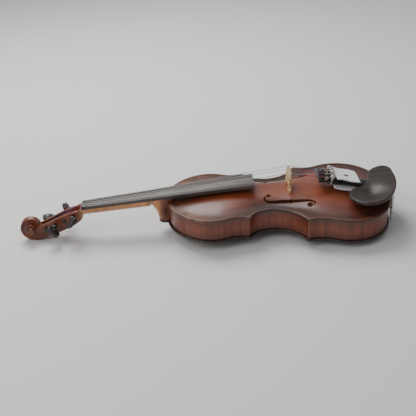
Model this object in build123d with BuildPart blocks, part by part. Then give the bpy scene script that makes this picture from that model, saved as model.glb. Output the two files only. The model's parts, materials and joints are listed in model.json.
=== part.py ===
from build123d import *
import os
from itertools import pairwise
from math import asin, atan2, cos, degrees, exp, hypot, pi, radians, sin, sqrt, tan

# A full-size violin, belly up.  All sizes are in millimetres.
# While it is built, x = 0 is the body's neck end and +x runs to the tail, the bass side is -y,
# and z = 0 is the outer face of the back's edge.  The last section lays it on its back.

# ---------------------------------------------------------------- driving dimensions: body
BODY_LENGTH = 355.0
UPPER_BOUT = 168.0
WAIST = 111.0
LOWER_BOUT = 208.0
UPPER_BOUT_X = 72.0          # widest place of the upper bout
UPPER_CORNER_X = 125.5
WAIST_X = 163.0
LOWER_CORNER_FROM_TAIL = 143.5
LOWER_BOUT_FROM_TAIL = 72.0
RIB_HEIGHT = 31.0
RIB_THICKNESS = 1.2
OVERHANG = 3.0               # plate edge beyond the ribs
EDGE_THICKNESS = 4.0
EDGE_ROUND = 1.3
RIM_WIDTH = 5.4              # flat edge outside the arching
CHANNEL_HEIGHT = 3.4         # outer surface at the foot of the arching, above the glue line
TOP_ARCH = 15.5              # crown above the glue line
BACK_ARCH = 15.0
TOP_EDGE_GRADUATION = 2.6
TOP_CROWN_GRADUATION = 3.0
BACK_EDGE_GRADUATION = 2.8
BACK_CROWN_GRADUATION = 4.2
PURFLING_INSET = 3.6
PURFLING_WIDTH = 1.3
PURFLING_DEPTH = 1.8
LINING_WIDTH = 2.0
LINING_HEIGHT = 7.0
BLOCK_WIDTH = 48.0
BLOCK_DEPTH = 15.0
CORNER_BLOCK_DEPTH = 17.0
BUTTON_WIDTH = 21.0
BUTTON_LENGTH = 13.5

# ---------------------------------------------------------------- derived levels
BACK_GLUE_Z = EDGE_THICKNESS
TOP_GLUE_Z = BACK_GLUE_Z + RIB_HEIGHT
TOP_EDGE_Z = TOP_GLUE_Z + EDGE_THICKNESS
LINING_INSET = OVERHANG + RIB_THICKNESS
HOLLOW_INSET = LINING_INSET + LINING_WIDTH
CLEAR = 60.0                 # how far cutting prisms run past the body


# ---------------------------------------------------------------- helpers
def heading(angle):
    return Vector(cos(radians(angle)), sin(radians(angle)))


def biarc(start, end):
    """Two tangent arcs between two (x, y, heading) stations, inside a BuildLine block."""
    p0, p1 = Vector(*start[:2]), Vector(*end[:2])
    t0, t1 = heading(start[2]), heading(end[2])
    chord = p1 - p0
    along = chord.dot(t0 + t1)
    spread = 2 * (1 - t0.dot(t1))
    if spread < 1e-9:
        reach = chord.dot(chord) / (2 * along)
    else:
        reach = (-along + sqrt(along**2 + spread * chord.dot(chord))) / spread
    middle = (p0 + p1 + (t0 - t1) * reach) * 0.5
    first = TangentArc(p0, middle, tangent=t0)
    TangentArc(middle, p1, tangent=first % 1)


def outline_chains():
    """Half of the outline from the neck end to the tail, one chain of stations per rib."""
    upper, lower, tail = UPPER_BOUT / 2, LOWER_BOUT / 2, BODY_LENGTH
    corner_u, corner_l = UPPER_CORNER_X, tail - LOWER_CORNER_FROM_TAIL
    bout_u, bout_l = UPPER_BOUT_X, tail - LOWER_BOUT_FROM_TAIL
    return [
        [(0, 0, 90), (22, upper - 24, 48), (bout_u, upper, 0),
         (corner_u - 13.5, upper - 9.2, 0), (corner_u, upper - 5.4, 35)],
        [(corner_u + 4, upper - 8.4, -70), (WAIST_X, WAIST / 2, 0), (corner_l, lower - 13, 72)],
        [(corner_l + 5, lower - 10.2, -30), (corner_l + 18, lower - 13.2, 0),
         (bout_l, lower, 0), (tail - 25, lower - 20, -48), (tail, 0, -90)],
    ]


def outline_face():
    """The plates' outline, symmetric about the centre line."""
    with BuildSketch() as sketch:
        with BuildLine():
            chains = outline_chains()
            for chain in chains:
                for start, end in pairwise(chain):
                    biarc(start, end)
            for before, after in pairwise(chains):
                Line(before[-1][:2], after[0][:2])
            mirror(about=Plane.XZ)
        make_face()
    return sketch.sketch


OUTLINE = outline_face()


def inset(amount):
    """The outline pulled in by an even amount."""
    with BuildSketch() as sketch:
        add(OUTLINE)
        if amount:
            offset(amount=-amount, kind=Kind.INTERSECTION)
    return sketch.sketch


# ---------------------------------------------------------------- arching
ARCH_MARGIN = 6.0            # the arching starts this far inside the ends of the body
LONG_FLAT = 3.0              # higher is a flatter middle
CROSS_FLAT = 2.0
HALF_UPPER = UPPER_BOUT / 2 - 7.0
HALF_WAIST = WAIST / 2 - 6.5
HALF_LOWER = LOWER_BOUT / 2 - 7.0


def rise(share, knee, power):
    """0 to 1 across an arching: hollow near the edge up to the knee, then round to the crown."""
    share = min(max(share, 0.0), 1.0)
    round_part = 2 / ((1 - knee) ** (power - 1) * (power * knee + 2 * (1 - knee)))
    hollow_part = (1 - round_part * (1 - knee) ** power) / knee**2
    if share < knee:
        return hollow_part * share**2
    return 1 - round_part * (1 - share) ** power


def ease(share):
    return 0.5 - 0.5 * cos(pi * min(max(share, 0.0), 1.0))


def half_width(x):
    """Half width of the arching at x."""
    lower_x = BODY_LENGTH - LOWER_BOUT_FROM_TAIL
    if x < WAIST_X:
        share = ease((x - UPPER_BOUT_X) / (WAIST_X - UPPER_BOUT_X))
        width = HALF_UPPER + (HALF_WAIST - HALF_UPPER) * share
    else:
        share = ease((x - WAIST_X) / (lower_x - WAIST_X))
        width = HALF_WAIST + (HALF_LOWER - HALF_WAIST) * share
    half = BODY_LENGTH / 2 - ARCH_MARGIN
    end = min(abs(x - BODY_LENGTH / 2) / half, 1.0)
    return width * sqrt(max(1 - end**5, 0.0))


def arch_height(x, y, crown):
    """Outer surface above the glue line."""
    half = BODY_LENGTH / 2 - ARCH_MARGIN
    along = rise(1 - abs(x - BODY_LENGTH / 2) / half, 0.15, LONG_FLAT)
    width = half_width(x)
    across = rise(1 - abs(y) / width, 0.24, CROSS_FLAT) if width > 1 else 0.0
    return CHANNEL_HEIGHT + (crown - CHANNEL_HEIGHT) * along * across


def inner_height(x, y, crown, edge_graduation, crown_graduation):
    """Inner surface above the glue line: the plate thickens towards its crown."""
    outer = arch_height(x, y, crown)
    share = (outer - CHANNEL_HEIGHT) / (crown - CHANNEL_HEIGHT)
    return outer - edge_graduation - (crown_graduation - edge_graduation) * share


def surface(height, step=5.6):
    """A smooth face through the heights of a grid that covers the whole body."""
    reach_y = LOWER_BOUT / 2 + 4
    columns = round((BODY_LENGTH + 8) / step)
    rows = 2 * round(reach_y / step)
    grid = []
    for i in range(columns + 1):
        x = -4 + (BODY_LENGTH + 8) * i / columns
        ys = [reach_y * (2 * j / rows - 1) for j in range(rows + 1)]
        grid.append([(x, y, height(x, y)) for y in ys])
    return Face.make_surface_from_array_of_points(grid, tol=0.01, min_deg=3, max_deg=3)


def top_outer(x, y):
    return TOP_GLUE_Z + arch_height(x, y, TOP_ARCH)


def top_inner(x, y):
    graduations = TOP_EDGE_GRADUATION, TOP_CROWN_GRADUATION
    return TOP_GLUE_Z + inner_height(x, y, TOP_ARCH, *graduations)


def back_outer(x, y):
    return BACK_GLUE_Z - arch_height(x, y, BACK_ARCH)


def back_inner(x, y):
    graduations = BACK_EDGE_GRADUATION, BACK_CROWN_GRADUATION
    return BACK_GLUE_Z - inner_height(x, y, BACK_ARCH, *graduations)


UNDER_TOP = Solid.extrude(surface(top_outer), Vector(0, 0, -CLEAR))
UNDER_TOP_INSIDE = Solid.extrude(surface(top_inner), Vector(0, 0, -CLEAR))
OVER_BACK = Solid.extrude(surface(back_outer), Vector(0, 0, CLEAR))
OVER_BACK_INSIDE = Solid.extrude(surface(back_inner), Vector(0, 0, CLEAR))


# ---------------------------------------------------------------- blocks inside the body
def block_areas():
    """Footprints of the end blocks and the four corner blocks, inside the ribs."""
    upper, lower = outline_chains()[0][-1], outline_chains()[1][-1]
    inner = inset(LINING_INSET)
    areas = []
    ends = [(0, BLOCK_DEPTH), (BODY_LENGTH - BLOCK_DEPTH, BODY_LENGTH)]
    for x0, x1 in ends:
        with BuildSketch() as block:
            with Locations(((x0 + x1) / 2, 0)):
                Rectangle(x1 - x0 + 2 * LINING_INSET, BLOCK_WIDTH)
            add(inner, mode=Mode.INTERSECT)
        areas.append(block.sketch)
    corners = []
    for x, y, turn in ((upper[0] + 2, upper[1] - 1.5, 53), (lower[0] + 2.5, lower[1] + 1.4, 125)):
        for side in (-1, 1):
            with BuildSketch() as block:
                with Locations(Location((x, side * y, 0), (0, 0, side * turn))):
                    Rectangle(2 * CORNER_BLOCK_DEPTH, 90)
                add(inner, mode=Mode.INTERSECT)
            corners.append(block.sketch)
    return areas[0], areas[1], corners


NECK_BLOCK_AREA, END_BLOCK_AREA, CORNER_AREAS = block_areas()


# ---------------------------------------------------------------- f-holes and belly fittings: sizes
BRIDGE_X = 195.0             # the body stop, at the f-holes' inner notches
EYE_UPPER = (BRIDGE_X - 34.0, 23.5, 3.25)      # x, y, radius
EYE_LOWER = (BRIDGE_X + 27.5, 51.5, 4.5)
STEM = [(-36.5, 24.6), (-40.2, 26.8), (-41.6, 30.6), (-38, 34.5), (-25, 36.5), (0, 38.5),
        (20, 41.0), (31.5, 43.8), (35.5, 48.0), (32.5, 52.0)]
STEM_WIDTHS = [2.0, 2.1, 2.6, 4.2, 5.8, 6.4, 5.8, 4.2, 2.8, 2.2]
NOTCH = 1.6

# ---------------------------------------------------------------- neck root: sizes
NECK_STOP = 130.0
OVERSTAND = 6.0              # neck's glue plane above the belly's edge
MORTISE = 9.5                # how far the neck's heel is let into the body
NECK_ROOT_Z = TOP_EDGE_Z + OVERSTAND
HEEL_FOOT = BUTTON_WIDTH / 2 - 0.5
BOARD_NUT_WIDTH = 24.0
BOARD_END_WIDTH = 42.5
BOARD_LENGTH = 270.0


def board_half_width(distance):
    """Half width of the fingerboard, and of the neck under it, that far from the nut."""
    return (BOARD_NUT_WIDTH + (BOARD_END_WIDTH - BOARD_NUT_WIDTH) * distance / BOARD_LENGTH) / 2


HEEL_TOP = board_half_width(NECK_STOP)
SADDLE_LENGTH = 6.5
SADDLE_WIDTH = 35.0


def heel_half_width(z):
    share = (z - BACK_GLUE_Z) / (NECK_ROOT_Z - BACK_GLUE_Z)
    return HEEL_FOOT + (HEEL_TOP - HEEL_FOOT) * share


# ---------------------------------------------------------------- plates
def stem_side(side, hand):
    """One edge of an f-hole's stem: its centre line moved out by half its width."""
    points = [Vector(BRIDGE_X + x, y) for x, y in STEM]
    edge = []
    for i, point in enumerate(points):
        ahead = points[min(i + 1, len(points) - 1)] - points[max(i - 1, 0)]
        across = Vector(-ahead.Y, ahead.X).normalized() * (side * STEM_WIDTHS[i] / 2)
        moved = point + across
        edge.append((moved.X, hand * moved.Y))
    return edge


def f_hole(hand):
    """Sketch of one f-hole: two eyes, the stem between them and the two notches."""
    with BuildSketch() as sketch:
        with BuildLine():
            inner_edge = stem_side(-1, hand)
            outer_edge = stem_side(1, hand)
            Spline(*inner_edge)
            Spline(*outer_edge)
            Line(inner_edge[0], outer_edge[0])
            Line(inner_edge[-1], outer_edge[-1])
        make_face()
        for x, y, radius in (EYE_UPPER, EYE_LOWER):
            with Locations((x, hand * y)):
                Circle(radius)
        middle = STEM[5][1]
        for edge in (-1, 1):
            base = middle + edge * (STEM_WIDTHS[5] / 2 - 0.4)
            with BuildLine():
                Polyline((BRIDGE_X - NOTCH, hand * base), (BRIDGE_X + NOTCH, hand * base),
                         (BRIDGE_X, hand * (base + edge * (NOTCH + 0.4))), close=True)
            make_face()
    return sketch.sketch


def hollow_area():
    """What is carved out inside a plate: all but the rib line and the blocks' seats."""
    with BuildSketch() as sketch:
        add(inset(HOLLOW_INSET))
        for area in (NECK_BLOCK_AREA, END_BLOCK_AREA, *CORNER_AREAS):
            add(area, mode=Mode.SUBTRACT)
    return sketch.sketch


def arched_core(low_z, arching):
    """The carved middle of a plate, inside its flat rim."""
    with BuildPart() as core:
        with BuildSketch(Plane.XY.offset(low_z)):
            add(inset(RIM_WIDTH))
        extrude(amount=CLEAR)
        add(arching, mode=Mode.INTERSECT)
    return core.part


def carved_inside(low_z, arching):
    with BuildPart() as carving:
        with BuildSketch(Plane.XY.offset(low_z)):
            add(hollow_area())
        extrude(amount=CLEAR)
        add(arching, mode=Mode.INTERSECT)
    return carving.part


def rim(low_z):
    """The plate's flat edge with both its corners rounded."""
    with BuildPart() as edge:
        with BuildSketch(Plane.XY.offset(low_z)):
            add(OUTLINE)
        extrude(amount=EDGE_THICKNESS)
        fillet(edge.faces().filter_by(Axis.Z).edges(), radius=EDGE_ROUND)
        with BuildSketch(Plane.XY.offset(low_z)):
            add(inset(RIM_WIDTH))
        extrude(amount=EDGE_THICKNESS, mode=Mode.SUBTRACT)
    return edge.part


def purfling(low_z):
    """The inlaid strip round a plate."""
    with BuildPart() as strip:
        with BuildSketch(Plane.XY.offset(low_z)):
            add(inset(PURFLING_INSET))
            add(inset(PURFLING_INSET + PURFLING_WIDTH), mode=Mode.SUBTRACT)
        extrude(amount=PURFLING_DEPTH)
    return strip.part


def heel_mortise():
    """The neck heel's tail, let into the belly, the ribs and the neck block."""
    with BuildPart() as tail:
        with BuildSketch(Plane.YZ):
            with BuildLine():
                Polyline((-HEEL_FOOT, BACK_GLUE_Z), (HEEL_FOOT, BACK_GLUE_Z),
                         (HEEL_TOP, NECK_ROOT_Z), (-HEEL_TOP, NECK_ROOT_Z), close=True)
            make_face()
        extrude(amount=MORTISE)
    return tail.part


def belly_notch():
    """The place cut out of the belly's upper edge for the neck's heel, with upright sides."""
    with BuildPart() as notch:
        with BuildSketch(Plane.XY.offset(TOP_GLUE_Z)):
            with Locations((MORTISE / 2, 0)):
                Rectangle(MORTISE, 2 * heel_half_width(TOP_EDGE_Z))
        extrude(amount=CLEAR)
    return notch.part


def saddle_seat():
    """The place let into the belly's tail edge for the saddle."""
    with BuildPart() as seat:
        with BuildSketch(Plane.XY.offset(TOP_GLUE_Z)):
            with Locations((BODY_LENGTH - SADDLE_LENGTH / 2, 0)):
                Rectangle(SADDLE_LENGTH, SADDLE_WIDTH)
        extrude(amount=CLEAR)
    return seat.part


HEEL_TAIL = heel_mortise()
BELLY_NOTCH = belly_notch()
TOP_PURFLING_RING = purfling(TOP_EDGE_Z - PURFLING_DEPTH)
BACK_PURFLING = purfling(0)

with BuildPart() as top_purfling:
    add(TOP_PURFLING_RING)
    add(BELLY_NOTCH, mode=Mode.SUBTRACT)
    add(saddle_seat(), mode=Mode.SUBTRACT)

with BuildPart() as top_plate:
    add(rim(TOP_GLUE_Z))
    add(arched_core(TOP_GLUE_Z, UNDER_TOP))
    add(carved_inside(TOP_GLUE_Z, UNDER_TOP_INSIDE), mode=Mode.SUBTRACT)
    for hand in (-1, 1):
        with BuildSketch(Plane.XY.offset(TOP_GLUE_Z)):
            add(f_hole(hand))
        extrude(amount=CLEAR, mode=Mode.SUBTRACT)
    add(TOP_PURFLING_RING, mode=Mode.SUBTRACT)
    add(BELLY_NOTCH, mode=Mode.SUBTRACT)
    add(saddle_seat(), mode=Mode.SUBTRACT)

with BuildPart() as back_plate:
    add(rim(0))
    add(arched_core(BACK_GLUE_Z - CLEAR, OVER_BACK))
    add(carved_inside(BACK_GLUE_Z - CLEAR, OVER_BACK_INSIDE), mode=Mode.SUBTRACT)
    add(BACK_PURFLING, mode=Mode.SUBTRACT)
    with BuildSketch(Plane.XY):
        with Locations((-BUTTON_LENGTH + BUTTON_WIDTH / 2, 0)):
            Circle(BUTTON_WIDTH / 2)
        with Locations((0, 0)):
            Rectangle(2 * (BUTTON_LENGTH - BUTTON_WIDTH / 2), BUTTON_WIDTH)
        with Locations((CLEAR / 2 + PURFLING_INSET - 1, 0)):
            Rectangle(CLEAR, CLEAR, mode=Mode.SUBTRACT)
    extrude(amount=EDGE_THICKNESS)


# ---------------------------------------------------------------- ribs, linings and blocks
def joint_wedge(x0, x1, side):
    """The part of the plan between two rib joints, on one side of the centre line."""
    with BuildSketch() as wedge:
        with Locations(((x0 + x1) / 2, side * CLEAR)):
            Rectangle(x1 - x0, 2 * CLEAR)
    return wedge.sketch


def rib(x0, x1, side):
    with BuildPart() as strip:
        with BuildSketch(Plane.XY.offset(BACK_GLUE_Z)):
            add(inset(OVERHANG))
            add(inset(LINING_INSET), mode=Mode.SUBTRACT)
            add(joint_wedge(x0, x1, side), mode=Mode.INTERSECT)
        extrude(amount=RIB_HEIGHT)
        add(HEEL_TAIL, mode=Mode.SUBTRACT)
        with BuildSketch(Plane.YZ.offset(BODY_LENGTH - 2 * BLOCK_DEPTH)):
            with Locations((0, END_BUTTON_Z)):
                Circle(END_BUTTON_SHANK / 2 + END_BUTTON_FIT)
        extrude(amount=CLEAR, mode=Mode.SUBTRACT)
    return strip.part


def lining(low_z):
    with BuildPart() as strip:
        with BuildSketch(Plane.XY.offset(low_z)):
            add(inset(LINING_INSET))
            add(inset(HOLLOW_INSET), mode=Mode.SUBTRACT)
            for area in (NECK_BLOCK_AREA, END_BLOCK_AREA, *CORNER_AREAS):
                add(area, mode=Mode.SUBTRACT)
        extrude(amount=LINING_HEIGHT)
    return strip.part


END_BUTTON_Z = BACK_GLUE_Z + RIB_HEIGHT / 2
END_BUTTON_SHANK = 7.0
END_BUTTON_FIT = 0.03

UPPER_JOINT_X = UPPER_CORNER_X + 2.0
LOWER_JOINT_X = BODY_LENGTH - LOWER_CORNER_FROM_TAIL + 2.5
RIBS = {}
for side, hand_name in ((-1, "bass"), (1, "treble")):
    RIBS[f"upper_rib_{hand_name}"] = rib(0, UPPER_JOINT_X, side)
    RIBS[f"waist_rib_{hand_name}"] = rib(UPPER_JOINT_X, LOWER_JOINT_X, side)
    RIBS[f"lower_rib_{hand_name}"] = rib(LOWER_JOINT_X, BODY_LENGTH, side)

with BuildPart() as neck_block:
    with BuildSketch(Plane.XY.offset(BACK_GLUE_Z)):
        add(NECK_BLOCK_AREA)
    extrude(amount=RIB_HEIGHT)
    add(HEEL_TAIL, mode=Mode.SUBTRACT)

with BuildPart() as end_block:
    with BuildSketch(Plane.XY.offset(BACK_GLUE_Z)):
        add(END_BLOCK_AREA)
    extrude(amount=RIB_HEIGHT)
    with BuildSketch(Plane.YZ.offset(BODY_LENGTH - 2 * BLOCK_DEPTH)):
        with Locations((0, END_BUTTON_Z)):
            Circle(END_BUTTON_SHANK / 2 + END_BUTTON_FIT)
    extrude(amount=CLEAR, mode=Mode.SUBTRACT)

with BuildPart() as corner_blocks:
    with BuildSketch(Plane.XY.offset(BACK_GLUE_Z)):
        for area in CORNER_AREAS:
            add(area)
    extrude(amount=RIB_HEIGHT)

with BuildPart() as linings:
    add(lining(BACK_GLUE_Z))
    add(lining(TOP_GLUE_Z - LINING_HEIGHT))

# ---------------------------------------------------------------- bass bar and sound post
BAR_LENGTH = 270.0
BAR_WIDTH = 5.5
BAR_HEIGHT = 11.0
BAR_END_HEIGHT = 3.0
BAR_Y = -17.0
POST_DIAMETER = 6.2
POST_X = BRIDGE_X + 6.5
POST_Y = 18.0

with BuildPart() as bass_bar:
    bar_end = BAR_LENGTH / 2
    with BuildSketch(Plane.XZ.offset(-BAR_Y)):
        with BuildLine():
            low = TOP_GLUE_Z + TOP_ARCH - TOP_CROWN_GRADUATION - BAR_HEIGHT
            Spline((BRIDGE_X - bar_end, TOP_GLUE_Z + BAR_END_HEIGHT),
                   (BRIDGE_X, low), (BRIDGE_X + bar_end, TOP_GLUE_Z + BAR_END_HEIGHT),
                   tangents=((1, 0.03), (1, -0.03)))
            Polyline((BRIDGE_X + bar_end, TOP_GLUE_Z + BAR_END_HEIGHT),
                     (BRIDGE_X + bar_end, TOP_GLUE_Z + CLEAR),
                     (BRIDGE_X - bar_end, TOP_GLUE_Z + CLEAR),
                     (BRIDGE_X - bar_end, TOP_GLUE_Z + BAR_END_HEIGHT))
        make_face()
    extrude(amount=BAR_WIDTH / 2, both=True)
    add(UNDER_TOP_INSIDE, mode=Mode.INTERSECT)

with BuildPart() as sound_post:
    with BuildSketch(Plane.XY.offset(-CLEAR)):
        with Locations((POST_X, POST_Y)):
            Circle(POST_DIAMETER / 2)
    extrude(amount=3 * CLEAR)
    add(UNDER_TOP_INSIDE, mode=Mode.INTERSECT)
    add(OVER_BACK_INSIDE, mode=Mode.INTERSECT)


# ---------------------------------------------------------------- neck, pegbox and scroll
BRIDGE_HEIGHT = 33.0         # at the centre, above the belly
PROJECTION = 27.0            # the fingerboard's line meets the bridge this far above the belly
BOARD_SIDE = 5.0
BOARD_RADIUS = 42.0
NUT_LENGTH = 6.0
NECK_DEPTH_NUT = 12.0        # below the fingerboard
NECK_DEPTH_ROOT = 13.5
HEEL_START = 28.0            # where the neck begins to swell into its heel

BELLY_AT_BRIDGE = top_outer(BRIDGE_X, 0)


def arc_rise(half, radius):
    """Height of an arc's middle above its ends."""
    return radius - sqrt(radius**2 - half**2)


def board_top(distance, y=0):
    """Fingerboard's playing surface above the neck's glue plane."""
    half = board_half_width(distance)
    return BOARD_SIDE + arc_rise(half, BOARD_RADIUS) - arc_rise(abs(y), BOARD_RADIUS)


BOARD_SLOPE = (board_top(BOARD_LENGTH) - board_top(0)) / BOARD_LENGTH
BOARD_LINE_AT_BRIDGE = board_top(0) + BOARD_SLOPE * (NECK_STOP + BRIDGE_X)
NECK_ANGLE = degrees(asin((BELLY_AT_BRIDGE + PROJECTION - NECK_ROOT_Z - BOARD_LINE_AT_BRIDGE)
                          / BRIDGE_X))
NECK_DIR = Vector(cos(radians(NECK_ANGLE)), 0, sin(radians(NECK_ANGLE)))
NECK_UP = Vector(-NECK_DIR.Z, 0, NECK_DIR.X)
NECK_ORIGIN = Vector(0, 0, NECK_ROOT_Z)
NECK = Plane(origin=NECK_ORIGIN, x_dir=NECK_DIR, z_dir=NECK_UP)
SIDE = Plane(origin=NECK_ORIGIN, x_dir=NECK_DIR, z_dir=(0, -1, 0))      # side view of the neck


def in_neck(along, up, y=0.0):
    """A point given along the glue plane (+ to the bridge) and above it."""
    return NECK_ORIGIN + NECK_DIR * along + NECK_UP * up + Vector(0, y, 0)


def in_head(along, up, y=0.0):
    """A point given from the nut's far face towards the scroll."""
    return in_neck(-NECK_STOP - NUT_LENGTH - along, up, y)


def section_plane(top, bottom):
    """A plane across the neck: local y runs from the bottom point up to the top point."""
    up = (top - bottom).normalized()
    across = Vector(0, 1, 0)
    return Plane(origin=top, x_dir=across, z_dir=across.cross(up))


def neck_section(top, bottom, half):
    """A round-backed section with its flat side at the top point."""
    depth = (top - bottom).length
    with BuildSketch(section_plane(top, bottom)) as section:
        with BuildLine():
            around = [(half * cos(pi * k / 8) , -depth * sin(pi * k / 8) ** 0.9)
                      for k in range(9)]
            Spline(*around, tangents=((0, -1), (0, 1)))
            Line(around[-1], around[0])
        make_face()
    return section.sketch


def fan_stations():
    """Top point, bottom point and half width of each section round the heel."""
    drop = NECK_ROOT_Z - BACK_GLUE_Z
    stations = [(in_neck(-HEEL_START, 0), in_neck(-HEEL_START, -NECK_DEPTH_ROOT))]
    tops = [in_neck(-18, 0), in_neck(-8, 0)]
    tops += [Vector(0, 0, BACK_GLUE_Z + share * drop) for share in (0.95, 0.62, 0.3, 0)]
    lows = [(-25.6, 0.67), (-22.0, 0.555), (-18.4, 0.41), (-15.6, 0.25), (-14.2, 0.11),
            (-BUTTON_LENGTH, 0)]
    for top, (x, share) in zip(tops, lows):
        stations.append((top, Vector(x, 0, BACK_GLUE_Z + share * drop)))
    result = []
    for top, low in stations:
        half = heel_half_width(top.Z) if top.X > -1 else board_half_width(NECK_STOP + top.X)
        result.append((top, low, half))
    return result


# the scroll: a spiral about the eye, in the head's side view (along, up)
EYE = (86.0, -22.0)
EYE_HALF_WIDTH = 21.0
SPIRAL_START = 22.0          # radius where the pegbox's back runs into the spiral
SPIRAL_SHRINK = 0.105        # per radian
SPIRAL_TURNS = 2.25
HEAD_STATIONS = [            # front point, back point, half width, corner, flute depth
    ((0, 0), (0, -12.4), 12.0, 4.5, 0.0),
    ((6, -0.9), (3, -17.0), 12.2, 3.0, 0.4),
    ((20, -3.4), (15, -24.6), 12.0, 1.8, 0.9),
    ((38, -8.9), (33, -31.6), 11.0, 1.3, 1.2),
    ((56, -15.2), (53, -37.8), 9.7, 1.2, 1.4),
    ((72, -20.0), (72, -42.6), 8.1, 1.2, 1.4),
    ((86, -23.0), (86, -44.0), 7.0, 1.2, 1.4),
]
CHEEK = 4.8                  # pegbox side walls
CAVITY_SIDE = [(4, 8), (4, -8), (9, -15), (18, -20), (36, -27.5), (54, -33.5), (62, -35),
               (67.5, -31.5), (70, -22), (70, 8)]


def spiral_radius(turn):
    return SPIRAL_START * exp(-SPIRAL_SHRINK * turn)


def spiral_half_width(turn):
    """The scroll narrows over its first half turn, then widens to the eye."""
    narrow, last = 5.7, SPIRAL_TURNS * 2 * pi
    if turn < pi:
        return 7.0 + (narrow - 7.0) * ease(turn / pi)
    return narrow + (EYE_HALF_WIDTH - 0.5 - narrow) * ((turn - pi) / (last - pi)) ** 1.15


def fluted_section(plane, depth, half, corner, flute, dish):
    """A section with two flutes and a ridge along its back, which is at local y = -depth."""
    lean = half - 0.8 * corner
    right = [(half * 0.45, flute - depth), (lean, -depth), (half, corner - depth),
             (half - dish, -depth / 2), (half - 0.8 * dish, 0)]
    with BuildSketch(plane) as section:
        with BuildLine():
            Polyline(*[(-x, y) for x, y in reversed(right)], (0, 0.15 * flute - depth), *right,
                     close=True)
        make_face()
    return section.sketch


def head_section(front, back, half, corner, flute):
    top, bottom = in_head(*front), in_head(*back)
    return fluted_section(section_plane(top, bottom), (top - bottom).length,
                          half, corner, flute, 0.0)


def spiral_section(turn):
    """Section of the scroll at an angle from straight below the eye."""
    outer = spiral_radius(turn)
    inner = max(spiral_radius(turn + 2 * pi) - 2.5, 0.8)
    out_u, out_w = sin(turn), -cos(turn)
    top = in_head(EYE[0] + out_u * inner, EYE[1] + out_w * inner)
    bottom = in_head(EYE[0] + out_u * outer, EYE[1] + out_w * outer)
    share = outer / SPIRAL_START
    return fluted_section(section_plane(top, bottom), outer - inner, spiral_half_width(turn),
                          1.3 * share, 1.4 * share**2, 1.6 * share)


with BuildPart() as pegbox_cavity:
    with BuildSketch(SIDE):
        with BuildLine():
            Polyline(*[(-NECK_STOP - NUT_LENGTH - u, w) for u, w in CAVITY_SIDE], close=True)
        make_face()
    extrude(amount=HEAD_STATIONS[0][2], both=True)
    with BuildSketch(NECK.offset(-CLEAR)):
        with BuildLine():
            wide, narrow = HEAD_STATIONS[1][2] - CHEEK, HEAD_STATIONS[5][2] - CHEEK + 1.0
            nut_end = -NECK_STOP - NUT_LENGTH
            Polyline((nut_end, -wide), (nut_end, wide), (nut_end - 70, narrow),
                     (nut_end - 70, -narrow), close=True)
        make_face()
    extrude(amount=2 * CLEAR, mode=Mode.INTERSECT)

# pegs: name, side of the head, place in the head's side view, string diameter
PEG_PLACES = [("g", -1, (16, -10.2)), ("e", 1, (31, -15.2)), ("d", -1, (48, -21.4)),
              ("a", 1, (63, -26.6))]
PEG_TAPER = 1 / 30
PEG_DIAMETER = 7.6           # where the shank enters the pegbox
PEG_FIT = 0.05
PEG_REACH = 12.6             # outer face of the pegbox from the centre line, at the shank's thick end


def shank_radius(distance):
    """Radius that far from the thick end, towards the tip."""
    return (PEG_DIAMETER - distance * PEG_TAPER) / 2


def peg_plane(side, place):
    """Plane through a peg's thick end: z points out to its head, x points along the neck."""
    return Plane(origin=in_head(*place, side * PEG_REACH), x_dir=NECK_DIR, z_dir=(0, side, 0))


def peg_hole(side, place):
    """A tapered reamed hole, as a solid to take away."""
    with BuildPart() as hole:
        far = 2 * PEG_REACH + 4
        with BuildSketch(peg_plane(side, place).offset(4)):
            Circle(shank_radius(-4) + PEG_FIT)
        with BuildSketch(peg_plane(side, place).offset(-far)):
            Circle(shank_radius(far) + PEG_FIT)
        loft()
    return hole.part


with BuildPart() as neck_and_scroll:
    nut_end = -NECK_STOP - NUT_LENGTH
    nut_section = neck_section(in_neck(nut_end, 0), in_neck(nut_end, -NECK_DEPTH_NUT),
                               BOARD_NUT_WIDTH / 2)
    heel_sections = [neck_section(*station) for station in fan_stations()]
    loft([nut_section, heel_sections[0]])
    loft(heel_sections)
    with BuildSketch(Plane.YZ):
        Rectangle(CLEAR, 4 * CLEAR)
    extrude(amount=CLEAR, mode=Mode.SUBTRACT)
    add(HEEL_TAIL)
    loft([head_section(*station) for station in HEAD_STATIONS])
    half_turns = round(SPIRAL_TURNS * 2 + 0.4)
    for half_turn in range(half_turns):
        first = half_turn * pi
        last = min(first + pi, SPIRAL_TURNS * 2 * pi)
        steps = max(3, round((last - first) / radians(30)))
        loft([spiral_section(first + (last - first) * k / steps) for k in range(steps + 1)])
    with BuildSketch(Plane(origin=in_head(*EYE), x_dir=NECK_DIR, z_dir=(0, 1, 0))):
        Circle(spiral_radius(SPIRAL_TURNS * 2 * pi))
    extrude(amount=EYE_HALF_WIDTH, both=True)
    with BuildSketch(NECK):
        Rectangle(4 * NECK_STOP, CLEAR)
    extrude(amount=CLEAR, mode=Mode.SUBTRACT)
    add(pegbox_cavity.part, mode=Mode.SUBTRACT)
    for name, side, place in PEG_PLACES:
        add(peg_hole(side, place), mode=Mode.SUBTRACT)


# ---------------------------------------------------------------- fingerboard and nut
BOARD_HOLLOW_START = NECK_STOP + 6.0
BOARD_HOLLOW_WALL = 4.5
NUT_ABOVE_BOARD = 0.6


def board_section(distance):
    half = board_half_width(distance)
    with BuildSketch(Plane(origin=in_neck(distance - NECK_STOP, 0), x_dir=(0, -1, 0),
                           z_dir=-NECK_DIR)) as section:
        with BuildLine():
            Polyline((half, BOARD_SIDE), (half, 0), (-half, 0), (-half, BOARD_SIDE))
            ThreePointArc((-half, BOARD_SIDE), (0, board_top(distance)), (half, BOARD_SIDE))
        make_face()
    return section.sketch


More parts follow.
